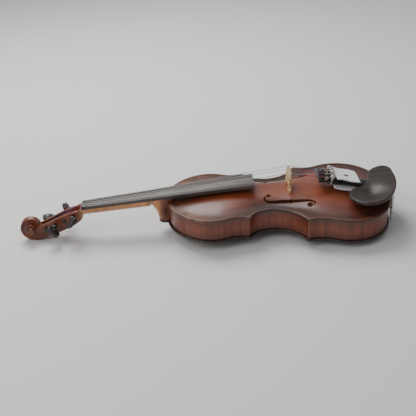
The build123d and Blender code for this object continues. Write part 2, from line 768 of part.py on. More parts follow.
with BuildPart() as fingerboard:
    loft([board_section(0), board_section(BOARD_LENGTH)])
    with BuildSketch(Plane(origin=in_neck(BOARD_HOLLOW_START - NECK_STOP, 0), x_dir=(0, 1, 0),
                           z_dir=NECK_DIR)):
        half = board_half_width(BOARD_HOLLOW_START) - BOARD_HOLLOW_WALL
        with BuildLine():
            Line((-half, 0), (half, 0))
            ThreePointArc((-half, 0), (0, BOARD_SIDE - 1.0), (half, 0))
        make_face()
    extrude(amount=BOARD_LENGTH, mode=Mode.SUBTRACT)
    long_edges = fingerboard.edges().filter_by(lambda edge: edge.length > 0.9 * BOARD_LENGTH)
    fillet(long_edges.sort_by(Axis.Z)[-2:], radius=0.5)

# strings: name, diameter, place across the nut and the bridge, in shares of half the spread
STRINGS = [("g", 0.85, -1), ("d", 0.75, -1 / 3), ("a", 0.65, 1 / 3), ("e", 0.3, 1)]
NUT_SPREAD = 16.5
BRIDGE_SPREAD = 34.0
BRIDGE_TOP_RADIUS = 42.0
BRIDGE_TILT = 0.06           # the bass side stands higher
NOTCH_DEPTH = 0.25           # share of a string's diameter below its notch's edges
BRIDGE_TOP_Z = BELLY_AT_BRIDGE + BRIDGE_HEIGHT

with BuildPart() as nut:
    with BuildSketch(Plane(origin=in_neck(-NECK_STOP, 0), x_dir=(0, -1, 0), z_dir=-NECK_DIR)):
        half = BOARD_NUT_WIDTH / 2
        high = board_top(0) + NUT_ABOVE_BOARD
        with BuildLine():
            Polyline((half, BOARD_SIDE + 0.3), (half, 0), (-half, 0), (-half, BOARD_SIDE + 0.3))
            ThreePointArc((-half, BOARD_SIDE + 0.3), (0, high), (half, BOARD_SIDE + 0.3))
        make_face()
    extrude(amount=NUT_LENGTH)
    far_edge = nut.edges().filter_by(GeomType.CIRCLE).sort_by(Axis.X)[0]
    fillet(far_edge, radius=3.0)


# ---------------------------------------------------------------- bridge
BRIDGE_FOOT_SPAN = 41.0
BRIDGE_FOOT_THICKNESS = 4.6
BRIDGE_TOP_THICKNESS = 1.5


def bridge_top_z(y):
    return BRIDGE_TOP_Z - arc_rise(abs(y), BRIDGE_TOP_RADIUS) - y * BRIDGE_TILT


def half_bridge(hand):
    """Half of the bridge's outline: foot, ankle, knee, wing and shoulder."""
    foot = BRIDGE_FOOT_SPAN / 2
    floor = BELLY_AT_BRIDGE
    shoulder = foot - 1.2
    with BuildSketch() as sketch:
        with BuildLine():
            Polyline((0, floor + 9.6), (0, BRIDGE_TOP_Z - 4), (hand * shoulder, BRIDGE_TOP_Z - 9))
            Spline((hand * shoulder, BRIDGE_TOP_Z - 9), (hand * (foot + 0.2), floor + 21.5),
                   (hand * 16.6, floor + 18.2))
            Spline((hand * 16.6, floor + 18.2), (hand * foot, floor + 15.4),
                   (hand * 18.2, floor + 11.6), (hand * 15.6, floor + 8.0),
                   (hand * 16.4, floor + 4.2), (hand * foot, floor + 1.9))
            Polyline((hand * foot, floor + 1.9), (hand * foot, floor - 6), (hand * 8.6, floor - 6),
                     (hand * 8.6, floor + 2.0))
            Spline((hand * 8.6, floor + 2.0), (hand * 10.4, floor + 4.4),
                   (hand * 7.6, floor + 8.2), (hand * 2.6, floor + 8.4), (0, floor + 9.6))
        make_face()
    return sketch.sketch


with BuildPart() as bridge:
    with BuildSketch(Plane.YZ.offset(BRIDGE_X)):
        add(half_bridge(1))
        add(half_bridge(-1))
        crown = BRIDGE_FOOT_SPAN / 2 - 1.2
        with BuildLine():
            ThreePointArc((-crown, bridge_top_z(-crown)), (0, bridge_top_z(0)),
                          (crown, bridge_top_z(crown)))
            Polyline((crown, bridge_top_z(crown)), (crown, BRIDGE_TOP_Z - 9.5),
                     (-crown, BRIDGE_TOP_Z - 9.5), (-crown, bridge_top_z(-crown)))
        make_face()
        for y in (-1.9, 1.9):
            with Locations((y, BELLY_AT_BRIDGE + 17.2)):
                Circle(2.0, mode=Mode.SUBTRACT)
        with BuildLine():
            heart = BELLY_AT_BRIDGE + 17.0
            Polyline((-3.6, heart - 0.6), (0, heart + 0.9), (3.6, heart - 0.6), (0, heart - 5.6),
                     close=True)
        make_face(mode=Mode.SUBTRACT)
        for hand in (-1, 1):
            with Locations((hand * 13.2, BELLY_AT_BRIDGE + 17.6)):
                Ellipse(3.6, 2.6, mode=Mode.SUBTRACT)
    extrude(amount=BRIDGE_FOOT_THICKNESS, both=True)
    with BuildSketch(Plane.XZ):
        back_face = BRIDGE_X + BRIDGE_FOOT_THICKNESS / 2
        with BuildLine():
            Polyline((back_face, BELLY_AT_BRIDGE - 8), (back_face, BRIDGE_TOP_Z + 2),
                     (back_face - BRIDGE_TOP_THICKNESS, BRIDGE_TOP_Z + 2),
                     (back_face - BRIDGE_FOOT_THICKNESS, BELLY_AT_BRIDGE + 6),
                     (back_face - BRIDGE_FOOT_THICKNESS, BELLY_AT_BRIDGE - 8), close=True)
        make_face()
    extrude(amount=CLEAR, both=True, mode=Mode.INTERSECT)
    add(UNDER_TOP, mode=Mode.SUBTRACT)

# ---------------------------------------------------------------- line of the strings to the tail
SADDLE_HEIGHT = 11.0         # above the glue line
GUT_DIAMETER = 2.2
SADDLE_TOP = Vector(BODY_LENGTH - 3.0, 0, TOP_GLUE_Z + SADDLE_HEIGHT + GUT_DIAMETER / 2)
BRIDGE_CROWN = Vector(BRIDGE_X + 0.8, 0, BRIDGE_TOP_Z)
TAIL_DIR = (SADDLE_TOP - BRIDGE_CROWN).normalized()
TAIL_UP = Vector(-TAIL_DIR.Z, 0, TAIL_DIR.X)
TAILPIECE_FRONT = 47.0       # from the bridge, along the strings
TAILPIECE_LENGTH = 100.0
TAILPIECE_FRONT_WIDTH = 43.0
TAILPIECE_END_WIDTH = 21.0
TAILPIECE_SIDE = 4.0
TAILPIECE_CROWN = 3.6


def in_tail(along, up, y=0.0):
    """A point given from the tailpiece's front edge, along and above the line to the saddle."""
    return BRIDGE_CROWN + TAIL_DIR * (TAILPIECE_FRONT + along) + TAIL_UP * up + Vector(0, y, 0)


TAIL_TOP = Plane(origin=in_tail(0, 0), x_dir=TAIL_DIR, z_dir=TAIL_UP)
TAIL_SIDE = Plane(origin=in_tail(0, 0), x_dir=TAIL_DIR, z_dir=(0, -1, 0))


def tail_half_width(along):
    share = along / TAILPIECE_LENGTH
    straight = TAILPIECE_FRONT_WIDTH + (TAILPIECE_END_WIDTH - TAILPIECE_FRONT_WIDTH) * share
    return (straight - 5.0 * sin(pi * share)) / 2


def tailpiece_section(along):
    half = tail_half_width(along)
    with BuildSketch(Plane(origin=in_tail(along, -2.5), x_dir=(0, -1, 0), z_dir=-TAIL_DIR)) as cut:
        with BuildLine():
            low = -TAILPIECE_SIDE - 1.5
            Polyline((half, -1.5), (half - 0.8, low), (0.8 - half, low), (-half, -1.5))
            ThreePointArc((-half, -1.5), (0, TAILPIECE_CROWN - 1.5), (half, -1.5))
        make_face()
    return cut.sketch


def tail_top(y, along=0.0):
    """Height of the tailpiece's top surface, near its front."""
    share = abs(y) / tail_half_width(along)
    return TAILPIECE_CROWN * (1 - share**2) - TAILPIECE_SIDE


# ---------------------------------------------------------------- fine tuners: sizes
TUNER_SPREAD = 32.4
SLOT_START = 3.0
SLOT_END = 19.0
SLOT_WIDTH = 3.6
LEVER_GAP = 0.35
PIVOT = (11.0, -4.8)         # along, up
PIVOT_DIAMETER = 1.5
PIVOT_FIT = 0.05
SCREW_AT = 21.5
SCREW_DIAMETER = 3.0
SCREW_FIT = 0.06
SCREW_TIP = -9.2
KNOB_DIAMETER = 7.6
KNOB_HEIGHT = 6.5
KNOB_LIFT = 3.2              # knob's underside above the tailpiece
BALL_DIAMETER = 3.4
STRING_LIFT = 2.0            # strings' centre lines above the tailpiece
FORK = (9.2, 12.0)           # the lever's fork, along the string

TUNER_Y = {name: share * TUNER_SPREAD / 2 for name, diameter, share in STRINGS}


def string_end(name):
    """Where a string stops: along and above the tailpiece, and across."""
    y = TUNER_Y[name]
    return FORK[1] - LEVER_GAP, tail_top(y) + STRING_LIFT, y


def tuner_lever(name):
    """The rocking lever under a string: its fork holds the ball end, its foot meets the screw."""
    y = TUNER_Y[name]
    high = string_end(name)[1]
    foot = SCREW_TIP - LEVER_GAP
    with BuildPart() as lever:
        with BuildSketch(TAIL_SIDE.offset(-y)):
            with BuildLine():
                Polyline((FORK[0], high + 1.3), (FORK[1], high + 1.3), (12.7, -3.4), (13.6, -6.6),
                         (14.6, foot), (24.0, foot), (24.2, foot - 1.5), (13.0, foot - 1.8),
                         (10.0, -8.4), (8.7, -5.2), close=True)
            make_face()
        extrude(amount=SLOT_WIDTH / 2 - LEVER_GAP, both=True)
        with BuildSketch(TAIL_SIDE.offset(-y)):
            with Locations((FORK[1] + BALL_DIAMETER / 2 - 0.1, high)):
                Circle(BALL_DIAMETER / 2)
        extrude(amount=SLOT_WIDTH / 2 - LEVER_GAP, both=True)
        with BuildSketch(TAIL_SIDE.offset(-y)):
            with Locations(((FORK[0] + FORK[1]) / 2 - 1, high + 1)):
                Rectangle(FORK[1] - FORK[0] + 2, 4.4)
        extrude(amount=0.75, both=True, mode=Mode.SUBTRACT)
        with BuildSketch(TAIL_SIDE.offset(-y)):
            with Locations(PIVOT):
                Circle(PIVOT_DIAMETER / 2 + PIVOT_FIT)
        extrude(amount=SLOT_WIDTH, both=True, mode=Mode.SUBTRACT)
    return lever.part


def tuner_screw(name):
    top = tail_top(TUNER_Y[name]) + KNOB_LIFT
    with BuildPart() as screw:
        with BuildSketch(TAIL_TOP.offset(SCREW_TIP)):
            with Locations((SCREW_AT, TUNER_Y[name])):
                Circle(SCREW_DIAMETER / 2)
        extrude(amount=top - SCREW_TIP)
        chamfer(screw.edges().filter_by(GeomType.CIRCLE).sort_by(Axis.Z)[0], length=0.5)
    return screw.part


def tuner_knob(name):
    """A round knob with flutes for the fingers and a domed top."""
    base = tail_top(TUNER_Y[name]) + KNOB_LIFT
    with BuildPart() as knob:
        with BuildSketch(TAIL_TOP.offset(base)):
            with Locations((SCREW_AT, TUNER_Y[name])):
                Circle(KNOB_DIAMETER / 2)
        extrude(amount=KNOB_HEIGHT)
        fillet(knob.edges().filter_by(GeomType.CIRCLE), radius=0.9)
        with BuildSketch(TAIL_TOP.offset(base)):
            with Locations((SCREW_AT, TUNER_Y[name])):
                with PolarLocations(KNOB_DIAMETER / 2 + 0.25, 12):
                    Circle(0.55)
        extrude(amount=KNOB_HEIGHT, mode=Mode.SUBTRACT)
    return knob.part


with BuildPart() as tuner_pins:
    for y in TUNER_Y.values():
        with BuildSketch(TAIL_SIDE.offset(-y)):
            with Locations(PIVOT):
                Circle(PIVOT_DIAMETER / 2)
        extrude(amount=SLOT_WIDTH / 2 + 1.8, both=True)


# ---------------------------------------------------------------- end button, saddle, tail gut
BUTTON_HEAD = 14.5
BUTTON_LAND = 4.0            # straight part of the button's head
GUT_SPREAD = 9.4
GUT_X = BODY_LENGTH + 2.4
GUT_IN_TAILPIECE = 9.0


def gut_route():
    """One loop: out of the tailpiece, over the saddle, round the end button and back."""
    y = GUT_SPREAD / 2
    start = in_tail(TAILPIECE_LENGTH - GUT_IN_TAILPIECE, -4.6, y)
    over = SADDLE_TOP + Vector(0.5, y, 0)
    down = Vector(GUT_X - 0.4, y, SADDLE_TOP.Z - 3.6)
    low = Vector(GUT_X, y, END_BUTTON_Z - y)
    half = [start, over, down, low]
    return half + [Vector(p.X, -p.Y, p.Z) for p in reversed(half)]


def corner_radii(route, share=0.45):
    """As large an arc at each corner as its shorter run allows."""
    radii = []
    for before, here, after in zip(route, route[1:], route[2:]):
        turn = (here - before).get_angle(after - here)
        radii.append(share * min((here - before).length, (after - here).length)
                     / tan(radians(turn / 2)))
    return radii


def tube(route, diameter, radii):
    with BuildPart() as solid:
        with BuildLine() as path:
            FilletPolyline(*route, radius=radii)
        with BuildSketch(Plane(origin=path.line @ 0, z_dir=path.line % 0)):
            Circle(diameter / 2)
        sweep(path=path.line)
    return solid.part


GUT_ROUTE = gut_route()
GUT_RADII = corner_radii(GUT_ROUTE)
GUT_RADII[2] = GUT_SPREAD / 2 - 0.02
GUT_RADII[3] = GUT_SPREAD / 2 - 0.02
tail_gut_part = tube(GUT_ROUTE, GUT_DIAMETER, GUT_RADII)

with BuildPart() as saddle:
    with BuildSketch(Plane.XZ):
        with BuildLine():
            x0, x1 = BODY_LENGTH - SADDLE_LENGTH, BODY_LENGTH
            high = TOP_GLUE_Z + SADDLE_HEIGHT
            Polyline((x0, TOP_GLUE_Z), (x0, high - 2.0), (x0 + 1.6, high))
            Spline((x0 + 1.6, high), (x0 + 4.6, high - 0.6), (x1, high - 4.2),
                   tangents=((1, 0.05), (0, -1)))
            Polyline((x1, high - 4.2), (x1, TOP_GLUE_Z), (x0, TOP_GLUE_Z))
        make_face()
    extrude(amount=SADDLE_WIDTH / 2, both=True)
    with BuildSketch(Plane.YZ.offset(BODY_LENGTH - CLEAR)):
        with BuildLine():
            Polyline((-SADDLE_WIDTH / 2, TOP_GLUE_Z), (-SADDLE_WIDTH / 2, TOP_EDGE_Z + 0.8))
            Spline((-SADDLE_WIDTH / 2, TOP_EDGE_Z + 0.8), (-8, TOP_GLUE_Z + SADDLE_HEIGHT),
                   (8, TOP_GLUE_Z + SADDLE_HEIGHT), (SADDLE_WIDTH / 2, TOP_EDGE_Z + 0.8))
            Polyline((SADDLE_WIDTH / 2, TOP_EDGE_Z + 0.8), (SADDLE_WIDTH / 2, TOP_GLUE_Z),
                     (-SADDLE_WIDTH / 2, TOP_GLUE_Z))
        make_face()
    extrude(amount=2 * CLEAR, mode=Mode.INTERSECT)
    add(tail_gut_part, mode=Mode.SUBTRACT)

with BuildPart() as end_button:
    with BuildSketch(Plane.XZ):
        shank, head = END_BUTTON_SHANK / 2, BUTTON_HEAD / 2
        inside = BODY_LENGTH - OVERHANG
        land = inside + 8.4
        with BuildLine():
            Polyline((inside - 15, END_BUTTON_Z), (inside - 15, END_BUTTON_Z + shank - 0.4),
                     (inside - 14.6, END_BUTTON_Z + shank), (inside, END_BUTTON_Z + shank),
                     (inside, END_BUTTON_Z + shank + 1.5), (inside + 3.9, END_BUTTON_Z + shank + 1.0),
                     (inside + 4.0, END_BUTTON_Z + shank), (inside + 6.9, END_BUTTON_Z + shank),
                     (inside + 7.4, END_BUTTON_Z + head - 1.0))
            Polyline((inside + 7.4, END_BUTTON_Z + head - 1.0), (land, END_BUTTON_Z + head),
                     (land + BUTTON_LAND, END_BUTTON_Z + head))
            Spline((land + BUTTON_LAND, END_BUTTON_Z + head),
                   (land + BUTTON_LAND + 3.0, END_BUTTON_Z + head - 3.4),
                   (land + BUTTON_LAND + 4.4, END_BUTTON_Z), tangents=((1, 0), (0, -1)))
            Line((land + BUTTON_LAND + 4.4, END_BUTTON_Z), (inside - 15, END_BUTTON_Z))
        make_face()
    revolve(axis=Axis((0, 0, END_BUTTON_Z), (1, 0, 0)))

with BuildPart() as tailpiece:
    loft([tailpiece_section(TAILPIECE_LENGTH * k / 4) for k in range(5)])
    with BuildSketch(TAIL_TOP):
        for y in TUNER_Y.values():
            with Locations(((SLOT_START + SLOT_END) / 2, y)):
                Rectangle(SLOT_END - SLOT_START, SLOT_WIDTH)
            with Locations((SCREW_AT, y)):
                Circle(SCREW_DIAMETER / 2 + SCREW_FIT)
    extrude(amount=CLEAR / 4, both=True, mode=Mode.SUBTRACT)
    with BuildSketch(TAIL_TOP):
        with Locations(((SCREW_AT + TAILPIECE_LENGTH) / 2 + 2, 0)):
            SlotOverall(TAILPIECE_LENGTH - SCREW_AT - 24, 9.0)
    add(tuner_pins.part, mode=Mode.SUBTRACT)
    add(tail_gut_part, mode=Mode.SUBTRACT)

# ---------------------------------------------------------------- strings, pegs and their windings
WINDING_GAP = 0.3
WINDING_Y = {"g": -3.2, "e": 3.4, "d": -1.9, "a": 1.6}
WINDING_TURNS = {"g": 4, "d": 4, "a": 5, "e": 8}
PEG = {name: (side, place) for name, side, place in PEG_PLACES}
DIAMETER = {name: diameter for name, diameter, share in STRINGS}
HEAD_TURN = {"g": 35.0, "d": -50.0, "a": 15.0, "e": 70.0}
PEG_HEAD_WIDTH = 22.0
PEG_HEAD_LENGTH = 18.0
PEG_HEAD_THICKNESS = 6.6
PEG_COLLAR = 10.0
DISH_RADIUS = 13.2
PEG_NECK = 9.0               # from the pegbox to the thumb piece


def winding_radius(name):
    """Outer radius of the wound string on its peg."""
    side, place = PEG[name]
    return shank_radius(PEG_REACH - side * WINDING_Y[name]) + DIAMETER[name]


def string_route(name, share):
    """Tail stop, bridge notch, both edges of the nut, and the top of the winding."""
    diameter = DIAMETER[name]
    lift = (0.5 - NOTCH_DEPTH) * diameter
    y_bridge, y_nut = share * BRIDGE_SPREAD / 2, share * NUT_SPREAD / 2
    along, up, y_tail = string_end(name)
    nut_up = board_top(0, y_nut) + NUT_ABOVE_BOARD + lift
    side, place = PEG[name]
    edge_u, edge_w = -NUT_LENGTH + 0.4, nut_up
    exit_u, exit_w = 0.4 - 1.2, nut_up - 1.5
    radius = winding_radius(name) + WINDING_GAP + diameter / 2
    reach = hypot(place[0] - exit_u, place[1] - exit_w)
    bearing = atan2(place[1] - exit_w, place[0] - exit_u)
    lean = asin(radius / reach)
    length = sqrt(reach**2 - radius**2)
    end_u = exit_u + length * cos(bearing + lean)
    end_w = exit_w + length * sin(bearing + lean)
    return [in_tail(along, up, y_tail),
            Vector(BRIDGE_CROWN.X, y_bridge, bridge_top_z(y_bridge) + lift),
            in_head(edge_u, edge_w, y_nut), in_head(exit_u, exit_w, y_nut),
            in_head(end_u, end_w, WINDING_Y[name])]


def thumb_piece(name):
    """A peg's flat oval head, with a dish for the thumb on each half of each face."""
    side, place = PEG[name]
    plane = peg_plane(side, place)
    middle = plane.origin + plane.z_dir * (PEG_NECK + PEG_HEAD_LENGTH / 2)
    across = NECK_DIR.rotate(Axis((0, 0, 0), plane.z_dir), HEAD_TURN[name])
    flat = Plane(origin=middle, x_dir=across, z_dir=across.cross(plane.z_dir))
    with BuildPart() as thumb:
        with BuildSketch(flat):
            Ellipse(PEG_HEAD_WIDTH / 2, PEG_HEAD_LENGTH / 2)
        extrude(amount=PEG_HEAD_THICKNESS / 2, both=True)
        fillet(thumb.faces().filter_by(GeomType.PLANE).edges(), radius=1.6)
        for face in (-1, 1):
            for wing in (-1, 1):
                centre = flat.from_local_coords((wing * 5.6, 0, face * (PEG_HEAD_THICKNESS / 2 + 12)))
                with BuildSketch(Plane(origin=centre, x_dir=flat.z_dir, z_dir=flat.x_dir)):
                    with BuildLine():
                        ThreePointArc((0, -DISH_RADIUS), (DISH_RADIUS, 0), (0, DISH_RADIUS))
                        Line((0, DISH_RADIUS), (0, -DISH_RADIUS))
                    make_face()
                revolve(axis=Axis(centre, flat.y_dir), mode=Mode.SUBTRACT)
    return thumb.part


def turning_plane(name):
    """Plane through a peg's axis: local x runs along the neck, local y out to the head."""
    side, place = PEG[name]
    plane = peg_plane(side, place)
    return Plane(origin=plane.origin, x_dir=NECK_DIR, z_dir=NECK_DIR.cross(plane.z_dir))


def peg(name):
    """A turned shank and collar with its thumb piece."""
    side, place = PEG[name]
    plane = peg_plane(side, place)
    tip = 2 * PEG_REACH + 0.8
    collar = PEG_COLLAR / 2
    with BuildPart() as solid:
        with BuildSketch(turning_plane(name)):
            with BuildLine():
                Polyline((0, -tip), (shank_radius(tip) - 0.4, -tip), (shank_radius(tip), 0.4 - tip),
                         (shank_radius(4 - PEG_NECK), PEG_NECK - 4.0), (collar, PEG_NECK - 3.2),
                         (collar - 0.3, PEG_NECK - 1.6), (2.7, PEG_NECK + 0.6),
                         (2.7, PEG_NECK + 3), (0, PEG_NECK + 3), close=True)
            make_face()
        revolve(axis=Axis(plane.origin, plane.z_dir))
        add(thumb_piece(name))
    return solid.part


def winding(name):
    """The turns of string round a peg, as one ribbed sleeve."""
    side, place = PEG[name]
    diameter = DIAMETER[name]
    turns = WINDING_TURNS[name]
    plane = peg_plane(side, place)
    middle = PEG_REACH - side * WINDING_Y[name]
    with BuildPart() as sleeve:
        with BuildSketch(turning_plane(name)):
            with BuildLine():
                first = -middle - turns * diameter / 2
                inner = shank_radius(-first - turns * diameter)
                for turn in range(turns):
                    low = first + turn * diameter
                    out = inner + diameter / 2
                    ThreePointArc((out, low), (out + diameter / 2, low + diameter / 2),
                                  (out, low + diameter))
                last = first + turns * diameter
                Polyline((out, last), (inner, last), (inner, first), (inner + diameter / 2, first))
            make_face()
        revolve(axis=Axis(plane.origin, plane.z_dir))
    return sleeve.part


STRING_PARTS = {}
for name, diameter, share in STRINGS:
    route = string_route(name, share)
    STRING_PARTS[name] = tube(route, diameter, [2.0, 0.8, 1.0])

def grooved(blank):
    """A piece that the strings cross, with a notch under each of them."""
    with BuildPart() as piece:
        add(blank)
        for string in STRING_PARTS.values():
            add(string, mode=Mode.SUBTRACT)
    return piece


bridge = grooved(bridge.part)
nut = grooved(nut.part)

# ---------------------------------------------------------------- chin rest
REST_THICKNESS = 4.6
REST_HEIGHT = 26.0           # rear edge above the belly's edge
REST_SLOPE = 0.10            # the plate falls towards the bridge
DISH_DEPTH = 8.5
DISH_FROM_TAIL = 38.0
DISH_Y = -50.0
CORK_THICKNESS = 2.0
FOOT_INNER = 19.5
FOOT_OUTER = 36.0
POST_SPREAD = 37.0
POST_X_BEYOND = 5.0          # clamp posts' axes beyond the body's tail
POST_THREAD = 3.0
BARREL_DIAMETER = 6.4
BARREL_FIT = 0.06
BARREL_LOW_Z = 11.5
BARREL_LENGTH = 22.0
BRACKET_THICKNESS = 1.4
BRACKET_WIDTH = 46.0
BRACKET_Z = TOP_EDGE_Z + 18.0
CLAMP_TRAVEL = 4.0

REST_Z = TOP_EDGE_Z + REST_HEIGHT
DISH_X = BODY_LENGTH - DISH_FROM_TAIL
CLAMP_X = BODY_LENGTH + POST_X_BEYOND


def rest_top(x, y):
    hollow = exp(-((x - DISH_X) / 21) ** 2 - ((y - DISH_Y) / 25) ** 2)
    return REST_Z - REST_SLOPE * (BODY_LENGTH - 3 - x) - DISH_DEPTH * hollow


def rest_surface(height, step=5.0):
    xs = [BODY_LENGTH - 80 + step * i for i in range(19)]
    ys = [-96 + step * j for j in range(27)]
    grid = [[(x, y, height(x, y)) for y in ys] for x in xs]
    return Face.make_surface_from_array_of_points(grid, tol=0.01, min_deg=3, max_deg=3)


UNDER_REST_TOP = Solid.extrude(rest_surface(rest_top), Vector(0, 0, -CLEAR))
UNDER_REST = UNDER_REST_TOP.moved(Location((0, 0, -REST_THICKNESS)))


def tail_edge_strip(inner_inset, y0, y1):
    """The belly's tail edge between two distances from the centre line, on both sides."""
    with BuildSketch() as strip:
        add(inset(0.8))
        add(inset(inner_inset), mode=Mode.SUBTRACT)
        with BuildSketch(mode=Mode.INTERSECT):
            for side in (-1, 1):
                with Locations((BODY_LENGTH - 20, side * (y0 + y1) / 2)):
                    Rectangle(60, y1 - y0)
    return strip.sketch


with BuildPart() as chin_rest:
    tail = BODY_LENGTH
    with BuildSketch(Plane.XY.offset(TOP_GLUE_Z)):
        with BuildLine():
            Spline((tail + 8.5, 2), (tail + 6.5, -27), (tail - 2, -54), (tail - 17, -77),
                   (tail - 37, -88), (tail - 57, -84), (tail - 70, -68), (tail - 72, -50),
                   (tail - 64, -34), (tail - 50, -26), (tail - 38, -14), (tail - 32, 4),
                   (tail - 27, 19), (tail - 15, 29), (tail - 1, 31), (tail + 7, 22), periodic=True)
        make_face()
    extrude(amount=CLEAR)
    add(UNDER_REST_TOP, mode=Mode.INTERSECT)
    top_edges = chin_rest.edges().filter_by_position(Axis.Z, REST_Z - 12, REST_Z + 6)
    rim_edge = [e for e in top_edges if e.length > 50]
    fillet(rim_edge, radius=1.8)
    add(UNDER_REST, mode=Mode.SUBTRACT)

with BuildPart() as rest_feet:
    with BuildSketch(Plane.XY.offset(TOP_EDGE_Z + CORK_THICKNESS)):
        add(tail_edge_strip(9.5, FOOT_INNER, FOOT_OUTER))
    extrude(amount=REST_HEIGHT)
    with BuildSketch(Plane.XY.offset(BRACKET_Z + BRACKET_THICKNESS)):
        with Locations((BODY_LENGTH + 2.5, 0)):
            Rectangle(9.0, BRACKET_WIDTH)
    extrude(amount=REST_HEIGHT)
    add(UNDER_REST, mode=Mode.INTERSECT)

with BuildPart() as chin_rest_plate:
    add(chin_rest.part)
    add(rest_feet.part)
    for side in (-1, 1):
        with BuildSketch(Plane.XY.offset(BRACKET_Z)):
            with Locations((BODY_LENGTH + 2.5, side * 8.0)):
                Circle(1.25)
        extrude(amount=6.5, mode=Mode.SUBTRACT)

with BuildPart() as chin_rest_corks:
    with BuildSketch(Plane.XY.offset(TOP_EDGE_Z)):
        add(tail_edge_strip(9.5, FOOT_INNER, FOOT_OUTER))
    extrude(amount=CORK_THICKNESS)

with BuildPart() as clamp_upper_bracket:
    with BuildSketch(Plane.XY.offset(BRACKET_Z)):
        with Locations((BODY_LENGTH + 3.4, 0)):
            RectangleRounded(9.4, BRACKET_WIDTH, 2.0)
        for side in (-1, 1):
            with Locations((BODY_LENGTH + 2.5, side * 8.0)):
                Circle(1.35, mode=Mode.SUBTRACT)
    extrude(amount=BRACKET_THICKNESS)
    with BuildSketch(Plane.XY.offset(BARREL_LOW_Z + BARREL_LENGTH / 2 + 2.2)):
        for side in (-1, 1):
            with Locations((CLAMP_X, side * POST_SPREAD / 2)):
                Circle(POST_THREAD / 2)
    extrude(until=Until.NEXT)

with BuildPart() as clamp_screws:
    for side in (-1, 1):
        with BuildSketch(Plane.XY.offset(BRACKET_Z)):
            with Locations((BODY_LENGTH + 2.5, side * 8.0)):
                Circle(1.25)
        extrude(amount=6.5)
        with BuildSketch(Plane.XY.offset(BRACKET_Z - 1.3)):
            with Locations((BODY_LENGTH + 2.5, side * 8.0)):
                Circle(2.3)
        extrude(amount=1.3)

with BuildPart() as clamp_lower_bracket:
    low = -CORK_THICKNESS - BRACKET_THICKNESS
    with BuildSketch(Plane.XY.offset(low)):
        with Locations((BODY_LENGTH - 2.0, 0)):
            RectangleRounded(20.4, BRACKET_WIDTH, 3.0)
        with Locations((BODY_LENGTH - 4.0, 0)):
            SlotOverall(20.0, 8.0, rotation=90, mode=Mode.SUBTRACT)
    extrude(amount=BRACKET_THICKNESS)
    with BuildSketch(Plane.XY.offset(low)):
        for side in (-1, 1):
            with Locations((CLAMP_X, side * POST_SPREAD / 2)):
                Circle(POST_THREAD / 2)
    extrude(amount=BARREL_LOW_Z + BARREL_LENGTH / 2 - 2.2 - low)

with BuildPart() as clamp_lower_cork:
    with BuildSketch(Plane.XY.offset(-CORK_THICKNESS)):
        with Locations((BODY_LENGTH - 6.4, 0)):
            RectangleRounded(9.0, BRACKET_WIDTH - 3.0, 2.0)
        with Locations((BODY_LENGTH - 4.0, 0)):
            SlotOverall(20.0, 8.0, rotation=90, mode=Mode.SUBTRACT)
    extrude(amount=CORK_THICKNESS)


def clamp_barrel(side):
    """A turnbuckle on one pair of clamp posts, with the cross hole for its key."""
    y = side * POST_SPREAD / 2
    with BuildPart() as barrel:
        with BuildSketch(Plane.XY.offset(BARREL_LOW_Z)):
            with Locations((CLAMP_X, y)):
                Circle(BARREL_DIAMETER / 2)
        extrude(amount=BARREL_LENGTH)
        chamfer(barrel.edges().filter_by(GeomType.CIRCLE), length=0.7)
        with BuildSketch(Plane.XY.offset(BARREL_LOW_Z)):
            with Locations((CLAMP_X, y)):
                Circle(POST_THREAD / 2 + BARREL_FIT)
        extrude(amount=BARREL_LENGTH, mode=Mode.SUBTRACT)
        middle = BARREL_LOW_Z + BARREL_LENGTH / 2
        with BuildSketch(Plane(origin=(CLAMP_X, y, middle), z_dir=(1, 0, 0))):
            Circle(0.9)
        extrude(amount=BARREL_DIAMETER, both=True, mode=Mode.SUBTRACT)
    return barrel.part


# ---------------------------------------------------------------- packing foam on the tailpiece
FOAM_THICKNESS = 2.2
FOAM_START = 27.0
FOAM_LENGTH = 38.0
FOAM_HIGH = 1.8              # upper flap's underside, from the line of the strings
FOAM_LOW = -10.6             # lower flap's upper face
FOAM_FOLD_Y = 27.0
FOAM_OPEN_Y = -24.0
FOAM_HOLE = 9.0

with BuildPart() as foam_wrap:
    middle = (FOAM_HIGH + FOAM_LOW) / 2
    outer = (FOAM_HIGH - FOAM_LOW) / 2 + FOAM_THICKNESS
    foam_plane = Plane(origin=in_tail(FOAM_START, middle), x_dir=(0, 1, 0), z_dir=-TAIL_DIR)
    with BuildSketch(foam_plane):
        for half in (outer, outer - FOAM_THICKNESS):
            cut = Mode.ADD if half == outer else Mode.SUBTRACT
            turn = FOAM_FOLD_Y - outer
            with Locations(((FOAM_OPEN_Y + turn) / 2, 0)):
                Rectangle(turn - FOAM_OPEN_Y, 2 * half, mode=cut)
            with Locations((turn, 0)):
                Circle(half, mode=cut)
    extrude(amount=-FOAM_LENGTH)
    with BuildSketch(Plane(origin=in_tail(0, 0), x_dir=TAIL_DIR, z_dir=TAIL_UP)):
        with Locations((FOAM_START + FOAM_LENGTH / 2, -2)):
            Circle(FOAM_HOLE / 2)
    extrude(amount=CLEAR / 2, mode=Mode.SUBTRACT)

# ---------------------------------------------------------------- laid on its back, and written out
SCROLL_BACK = min((in_head(*spiral_point) for spiral_point in
                   [(EYE[0] + spiral_radius(turn / 50) * sin(turn / 50),
                     EYE[1] - spiral_radius(turn / 50) * cos(turn / 50)) for turn in range(-10, 60)]),
                  key=lambda point: point.Z)
BACK_CROWN = Vector(BODY_LENGTH / 2, 0, BACK_GLUE_Z - BACK_ARCH)
REST_TILT = degrees(atan2(BACK_CROWN.Z - SCROLL_BACK.Z, BACK_CROWN.X - SCROLL_BACK.X))
LAID_DOWN = Location((0, 0, 0), (0, REST_TILT, 0))

